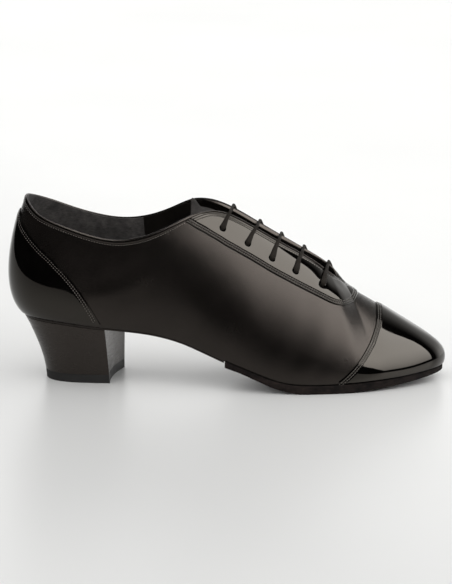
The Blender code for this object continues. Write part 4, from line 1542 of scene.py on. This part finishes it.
@dataclass
class Bottom:
    """Waist cover, forefoot sole, heel and top piece."""

    cover: float = 0.0012
    cover_end: float = 9.80
    sole_start: float = 9.86
    sole_lip: float = 0.0010
    breast: float = 5.55
    breast_hollow: float = 0.0024
    breast_slant: float = 0.0050
    breast_rake: float = 0.0023
    top_piece_height: float = 0.0055
    cover_play: float = SIZES.gap * 0.2
    heel_play: float = SIZES.gap * 0.3

    def waist(self, finish: bpy.types.Material) -> bpy.types.Object:
        """Thin leather closing the underside from the heel to the forefoot sole."""
        def place(along: Array, across: Array, level: Array) -> Array:
            rows = SHOE.across(along * self.cover_end, across, 0.0)
            rows[:, 2] -= self.cover_play + (1.0 - level) * self.cover
            return SHOE.placed(rows)

        made = Workbench.body(110, 30, place)
        Workbench.round_rims(made, 0.0003)
        return Workbench.hand_over("waist_leather", made, finish, Slot.SMOOTH, "waist_cover")

    def sole(self, finish: bpy.types.Material) -> bpy.types.Object:
        """Suede forefoot sole with its step at the waist, sprung up to the toe."""
        tread = np.array(TREAD)

        def place(along: Array, across: Array, level: Array) -> Array:
            s = self.sole_start + (LAST - self.sole_start) * along
            rows = SHOE.across(s, across, -self.sole_lip)
            arch = (SHOE.foot(ROUND - s)[:, 2] - SHOE.foot(s)[:, 2]) * across
            share = rows[:, 0] / SIZES.length
            height = np.interp(share, tread[:, 0], tread[:, 1]) * SIZES.seat_height
            low = np.maximum(height + arch, 0.0)
            rows[:, 2] = low + (rows[:, 2] - self.cover_play - low) * level
            return SHOE.placed(rows)

        made = Workbench.body(150, 36, place)
        Workbench.round_rims(made, 0.0004)
        return Workbench.hand_over("forefoot_sole", made, finish, Slot.SUEDE, "outsole")

    def seat(self, along: Array, across: Array) -> Array:
        """Seat of the heel, its last row the hollow, slanted breast."""
        s = along * self.breast
        rows = SHOE.across(s, across, 0.0)
        hollow = 4.0 * across * (1.0 - across) * self.breast_hollow
        rows[:, 0] += along ** 3 * (across * self.breast_slant - hollow)
        rows[:, 0] -= along ** 3 * (1.0 - across) * self.breast_rake
        near = s.copy()
        for _ in range(4):
            found = SHOE.across(near, across, 0.0)[:, 0]
            slope = (SHOE.across(near + 0.02, across, 0.0)[:, 0] - found) / 0.02
            near = np.where(along > 0.02, near + (rows[:, 0] - found) / np.maximum(slope, 1e-3), near)
        rows[:, 2] = SHOE.across(near, across, 0.0)[:, 2] - SIZES.gap - self.cover - self.heel_play
        return rows

    def heel_point(self, along: Array, across: Array, height: Array, seat: Array) -> Array:
        """Point of the heel at a height, drawn in towards the breast and the middle."""
        table = np.array(HEEL)
        share = height / seat[:, 2]
        long = np.interp(share, table[:, 0], table[:, 1])
        wide = np.interp(share, table[:, 0], table[:, 2])
        breast = self.seat(np.ones_like(along), across)[:, 0]
        ends = [self.seat(along, np.full_like(across, end))[:, 1] for end in (0.0, 1.0)]
        middle = (ends[0] + ends[1]) / 2.0
        made = seat.copy()
        rake = along ** 3 * (1.0 - across) * self.breast_rake
        made[:, 0] = breast - (breast - seat[:, 0]) * long + rake * (1.0 - share)
        made[:, 1] = middle + (seat[:, 1] - middle) * wide
        made[:, 2] = height
        return SHOE.placed(made)

    def heel(self, finish: bpy.types.Material) -> bpy.types.Object:
        """Covered block heel."""
        low = self.top_piece_height

        def place(along: Array, across: Array, level: Array) -> Array:
            seat = self.seat(along, across)
            return self.heel_point(along, across, low + (seat[:, 2] - low) * level, seat)

        made = Workbench.body(60, 30, place, levels=26)
        Workbench.round_rims(made, 0.0005, 3)
        return Workbench.hand_over("heel_block", made, finish, Slot.SMOOTH, "heel")

    def top_piece(self, finish: bpy.types.Material) -> bpy.types.Object:
        """Tip of the heel, on the floor."""
        high = self.top_piece_height - self.heel_play

        def place(along: Array, across: Array, level: Array) -> Array:
            seat = self.seat(along, across)
            return self.heel_point(along, across, high * level, seat)

        made = Workbench.body(60, 24, place, levels=4)
        Workbench.round_rims(made, 0.0004)
        return Workbench.hand_over("heel_top_piece", made, finish, Slot.TIP, "top_piece")

    def build(self, finishes: Finishes) -> None:
        """Make the four pieces."""
        self.waist(finishes.smooth)
        self.sole(finishes.sole)
        self.heel(finishes.heel)
        self.top_piece(finishes.tip)


@dataclass
class Laces:
    """One braided lace in five straight bars, run through every eyelet."""

    radius: float = 0.0011
    turn_in: float = 0.0014
    hole: float = 0.0017
    halfway: float = 0.45
    spring: float = 0.3
    crown: float = 0.1
    spread: tuple = (0.3, 0.9, 1.0, 1.0, 0.45, 0.1, 0.0, 0.1, 0.45, 1.0, 1.0, 0.9, 0.3)
    slim: float = 0.84
    flare: float = 1.75
    flat: float = 0.60
    around: int = 16
    spacing: float = 0.00045
    squareness: float = 2.3
    rod_ends: tuple = (-0.004, 0.003)
    under_shares: tuple = (0.35, 0.65)
    under_spread: float = 0.2

    @staticmethod
    def pairs() -> list:
        """Lateral and medial eyelet of each pair as section number and share."""
        return [((row[1], row[0]), (ROUND - row[4], row[0])) for row in BARS]

    @staticmethod
    def crossings() -> list:
        """Section numbers where each bar crosses the lateral and the medial edge."""
        return [(row[2], ROUND - row[3]) for row in BARS]

    @classmethod
    def spots(cls) -> list:
        """All ten eyelets."""
        return [spot for pair in cls.pairs() for spot in pair]

    @staticmethod
    def at(spot: tuple, offset: float) -> Array:
        """Point off the surface at an eyelet."""
        return SHOE.skin(np.array([spot[0]]), np.array([spot[1]]), np.array([offset]))[0]

    def cutter(self) -> bpy.types.Object:
        """Rods through all ten eyelets, which cut the holes and are then taken away."""
        made = bmesh.new()
        for spot in self.spots():
            low, high = [self.at(spot, end) for end in self.rod_ends]
            axis = Vector(high - low)
            turn = axis.to_track_quat("Z", "Y").to_matrix().to_4x4()
            middle = SHOE.placed((low + high) / 2.0)
            bmesh.ops.create_cone(
                made, cap_ends=True, segments=20, radius1=self.hole, radius2=self.hole,
                depth=axis.length, matrix=Matrix.Translation(Vector(middle)) @ turn,
            )
        data = bpy.data.meshes.new("eyelet_rods")
        made.to_mesh(data)
        made.free()
        rods = bpy.data.objects.new("eyelet_rods", data)
        bpy.context.scene.collection.objects.link(rods)
        return rods

    def corner(self, spot: tuple, toward: Array, height: float, turn_in: float) -> list:
        """Quarter turn of the lace out of an eyelet towards a point."""
        heart = self.at(spot, height - turn_in)
        axis = unit(self.at(spot, 1.0) - self.at(spot, 0.0))
        level = toward - heart
        level = unit(level - axis * np.dot(level, axis))
        radius = abs(turn_in)
        bend = np.linspace(0.0, np.pi / 2.0, 4)
        return [heart + axis * np.sin(b) * turn_in + level * (1.0 - np.cos(b)) * radius for b in bend]

    def over_throat(self, first: tuple, second: tuple, edges: tuple) -> tuple[list, list]:
        """Centre line of a bar and how far the lace is spread along it.

        Args:
            first: eyelet that it leaves.
            second: eyelet that it enters.
            edges: section numbers where it crosses the two edges.

        Returns:
            Points, and for each point 1 where the lace is flat and 0 where it is round.
        """
        height = SIZES.gap + SIZES.overlay + SIZES.gap + self.radius
        path = []
        for spot, edge_s in zip((first, second), edges):
            side = []
            for share in (self.halfway, 1.0):
                s = np.array([spot[0] + (edge_s - spot[0]) * share])
                t = np.array([spot[1] + (1.0 - spot[1]) * share])
                base = SHOE.form(s, t)[0]
                over = unit(SHOE.skin(s, t, np.array([height]))[0] - base)
                over = unit(over + np.array([0.0, 0.0, share ** 2]))
                side.append(base + over * (height + self.radius * self.spring * share))
            path.append(side)
        up, down = path
        lead = self.corner(first, up[0], height, self.turn_in)
        end = self.corner(second, down[0], height, self.turn_in)
        top = (up[-1] + down[-1]) / 2.0 + np.array([0.0, 0.0, self.radius * self.crown])
        points = lead + up + [top] + down[::-1] + end[::-1]
        return points, list(self.spread)

    def under_stay(self, first: tuple, second: tuple) -> tuple[list, list]:
        """Centre line from one eyelet to the next below the upper, and its spread."""
        depth = -SIZES.wall - SIZES.gap - self.radius
        share = np.array(self.under_shares)
        s = first[0] + (second[0] - first[0]) * share
        t = first[1] + (second[1] - first[1]) * share
        path = list(SHOE.skin(s, t, np.full(2, depth)))
        start = self.corner(first, path[0], depth, -self.turn_in)
        end = self.corner(second, path[-1], depth, -self.turn_in)
        points = start + path + end[::-1]
        return points, [self.under_spread] * len(points)

    def build(self, finishes: Finishes) -> bpy.types.Object:
        """Make the lace; its ends stop below the outer pairs."""
        pairs = self.pairs()
        depth = -SIZES.wall - SIZES.gap - self.radius
        points, spread = [self.at(pairs[0][0], depth)], [self.under_spread]
        sides = [None]
        for i, (pair, edges) in enumerate(zip(pairs, self.crossings())):
            step = 1 if i % 2 == 0 else -1
            first, second = pair[::step]
            runs = [(self.over_throat, first, second, edges[::step])]
            if i + 1 < len(pairs):
                runs.append((self.under_stay, second, pairs[i + 1][0 if i % 2 else 1]))
            for maker, start, end, *over in runs:
                path, wide = maker(start, end, *over)
                across = self.at(end, 0.0) - self.at(start, 0.0)
                out = self.at(start, 1.0) - self.at(start, 0.0) + self.at(end, 1.0) - self.at(end, 0.0)
                points += path
                spread += wide
                sides += [unit(np.cross(out, across))] * len(path)
        points.append(self.at(pairs[-1][1], depth))
        spread.append(self.under_spread)
        sides[0] = sides[1]
        sides.append(sides[-1])
        return self.weave(np.array(points), np.array(spread), np.array(sides), finishes.lace)

    def weave(self, points: Array, spread: Array, sides: Array, finish: bpy.types.Material
              ) -> bpy.types.Object:
        """Sweep the lace along its line.

        Args:
            points: centre line in the last's own frame.
            spread: 1 where the lace is flat and 0 where it is round.
            sides: direction across the lace at each point.
            finish: its material.

        Returns:
            The piece.
        """
        for i in range(1, len(sides)):
            if np.dot(sides[i], sides[i - 1]) < 0.0:
                sides[i] = -sides[i]
        steps = np.linalg.norm(np.diff(points, axis=0), axis=-1)
        kept = np.concatenate([[True], steps > 1e-6])
        points, spread, sides = points[kept], spread[kept], sides[kept]
        steps = np.linalg.norm(np.diff(points, axis=0), axis=-1)
        run = np.concatenate([[0.0], np.cumsum(steps)])
        fine = np.linspace(0.0, run[-1], int(run[-1] / self.spacing))
        kernel = np.hanning(7)[1:-1]
        kernel = kernel / kernel.sum()

        def smooth(values: Array) -> Array:
            found = np.stack([np.interp(fine, run, column) for column in values.T], -1)
            padded = np.pad(found, ((2, 2), (0, 0)), mode="edge")
            return np.stack([np.convolve(c, kernel, mode="valid") for c in padded.T], -1)

        middle = SHOE.placed(smooth(points))
        flat = smooth(spread[:, None])[:, 0]
        ahead = unit(np.gradient(middle, axis=0))
        side = smooth(sides)
        side = unit(side - ahead * (side * ahead).sum(-1, keepdims=True))
        top = np.cross(ahead, side)
        wide = side * (self.radius * (self.slim + (self.flare - self.slim) * flat))[:, None]
        tall = top * (self.radius * (self.slim + (self.flat - self.slim) * flat))[:, None]
        made = Workbench.sleeve(middle, wide, tall, self.around, power=self.squareness)
        return Workbench.hand_over("lace_woven", made, finish, Slot.TEXTILE, "lace")


@dataclass
class Studio:
    """Camera, light, world and floor, the light's values matched to tones of the photograph."""

    azimuth: float = 3.5
    elevation: float = 12.0
    distance: float = 1.6
    target: tuple = (-0.0003, 0.0, 0.0544)
    focus_pixels: float = 2520.0
    photo_height: int = 584
    shift_pixels: float = -0.5
    sensor: float = 36.0
    box_foot: tuple = (1.60, -1.12, 0.22)
    box_along: tuple = (-0.775, 0.085, 0.610)
    box_across: tuple = (0.09, 1.0, 0.0)
    box_wide: float = 1.14
    box_long: float = 2.20
    box_radiance: float = 5.2
    foot_share: float = 0.45
    foot_reach: float = 0.35
    rear_pull: float = 0.6
    low_glow: tuple = (1.45, 0.75, 0.22, 0.42)
    high_glow: tuple = (1.0, 0.5, 0.42, 0.75)
    behind_glow: tuple = (0.0, 1.0, 0.25, 0.55)
    darkness: float = 0.012
    fill_way: tuple = (0.35, -0.80, 0.30)
    fill_glow: tuple = (0.66, 1.66, -0.5, 0.9)
    backdrop: float = 0.93
    tint: tuple = (1.0, 1.0, 0.99, 1.0)
    floor_size: float = 6.0

    def camera(self) -> bpy.types.Object:
        """The camera where the photograph was taken from."""
        data = bpy.data.cameras.new("photo_camera")
        data.sensor_width = self.sensor
        data.lens = self.sensor * self.focus_pixels / self.photo_height
        data.shift_x = self.shift_pixels / self.photo_height
        data.clip_start = 0.05
        made = bpy.data.objects.new("photo_camera", data)
        a, e = math.radians(self.azimuth), math.radians(self.elevation)
        back = Vector((math.sin(a) * math.cos(e), -math.cos(a) * math.cos(e), math.sin(e)))
        made.location = Vector(self.target) + back * self.distance
        made.rotation_mode = "QUATERNION"
        made.rotation_quaternion = back.to_track_quat("Z", "Y")
        bpy.context.scene.collection.objects.link(made)
        bpy.context.scene.camera = made
        return made

    @classmethod
    def softbox(cls, name: str, middle: Vector, across: Vector, along: Vector, radiance: float,
                foot_share: float) -> bpy.types.Object:
        """A rectangular soft light.

        Args:
            name: name of the light.
            middle: its middle, metres.
            across: vector over its width.
            along: vector over its length; its face looks along the cross product with across.
            radiance: brightness of its face, where a white wall in full light is 1.
            foot_share: brightness along its lower edge as a share of the rest.

        Returns:
            The light.
        """
        data = bpy.data.lights.new(name, "AREA")
        data.shape = "RECTANGLE"
        data.size, data.size_y = across.length, along.length
        data.energy = radiance * math.pi * across.length * along.length
        made = bpy.data.objects.new(name, data)
        back = across.cross(along).normalized()
        side = across.normalized()
        turn = Matrix((side, back.cross(side), back)).transposed()
        made.rotation_mode = "QUATERNION"
        made.rotation_quaternion = turn.to_quaternion()
        made.location = middle
        made.visible_camera = False
        made.visible_diffuse = False
        bpy.context.scene.collection.objects.link(made)
        data.use_nodes = True
        desk = NodeDesk(data.node_tree)
        face = desk.add("ShaderNodeNewGeometry").outputs["Parametric"]
        apart = desk.add("ShaderNodeSeparateXYZ", {0: face})
        strength = desk.spread(apart.outputs[1], foot_share, 1.0, 0.0, cls.foot_reach)
        desk.tree.links.new(strength, data.node_tree.nodes["Emission"].inputs["Strength"])
        return made

    def world(self) -> None:
        """Bright backdrop low behind the shoe, darkness on the camera's side."""
        made = bpy.data.worlds.new("studio_world")
        made.use_nodes = True
        bpy.context.scene.world = made
        desk = NodeDesk(made.node_tree)
        shader = made.node_tree.nodes["Background"]
        ray = desk.add("ShaderNodeTexCoord").outputs["Generated"]
        apart = desk.add("ShaderNodeSeparateXYZ", {0: ray})
        rear = desk.maths("MULTIPLY", desk.maths("MINIMUM", apart.outputs[0], 0.0), self.rear_pull)
        behind = desk.spread(desk.maths("ADD", apart.outputs[1], rear), *self.behind_glow)
        low = desk.spread(apart.outputs[2], *self.low_glow)
        high = desk.spread(apart.outputs[2], *self.high_glow)
        lit = desk.maths("MULTIPLY", desk.maths("MULTIPLY", low, high), behind)
        strength = desk.maths("ADD", lit, self.darkness)
        ray_kind = desk.add("ShaderNodeLightPath")
        toward = desk.add("ShaderNodeVectorMath", {0: ray, 1: self.fill_way},
                          operation="DOT_PRODUCT").outputs["Value"]
        dome = desk.spread(toward, *self.fill_glow)
        spread = desk.add("ShaderNodeMix", {0: ray_kind.outputs["Is Diffuse Ray"], 2: strength, 3: dome})
        shown = desk.add("ShaderNodeMix", {0: ray_kind.outputs["Is Camera Ray"], 2: spread.outputs[0],
                                           3: self.backdrop})
        desk.tree.links.new(shown.outputs[0], shader.inputs["Strength"])
        shader.inputs["Color"].default_value = self.tint

    @classmethod
    def floor(cls, finish: bpy.types.Material) -> bpy.types.Object:
        """A wide level floor."""
        made = bmesh.new()
        bmesh.ops.create_grid(made, x_segments=4, y_segments=4, size=cls.floor_size)
        data = bpy.data.meshes.new("studio_floor")
        made.to_mesh(data)
        made.free()
        data.materials.append(finish)
        piece = bpy.data.objects.new("studio_floor", data)
        bpy.context.scene.collection.objects.link(piece)
        return piece

    def build(self, finishes: Finishes) -> None:
        """Set up the whole studio."""
        self.camera()
        self.world()
        self.floor(finishes.floor)
        along = Vector(self.box_along) * self.box_long
        across = Vector(self.box_across) * self.box_wide
        corner = Vector(self.box_foot)
        middle = corner + (along + across) / 2.0
        self.softbox("key_box", middle, across, along, self.box_radiance, self.foot_share)
        scene = bpy.context.scene
        scene.view_settings.view_transform = "Standard"


def main() -> None:
    """Build the shoe's pieces in the order a maker puts them together."""
    logging.basicConfig(level=logging.INFO, format="%(name)s %(message)s")
    finishes = Finishes(EffectKit())
    Studio().build(finishes)
    shell = Upper().build(finishes)
    stay = Overlays().build(finishes)
    laces = Laces()
    rods = laces.cutter()
    for piece in (shell, stay):
        Workbench.punch(piece, rods)
    bpy.data.objects.remove(rods, do_unlink=True)
    Topline().build(finishes)
    Inside().build(finishes)
    Bottom().build(finishes)
    laces.build(finishes)
    Stitching().build(finishes)


if __name__ == "__main__":
    main()
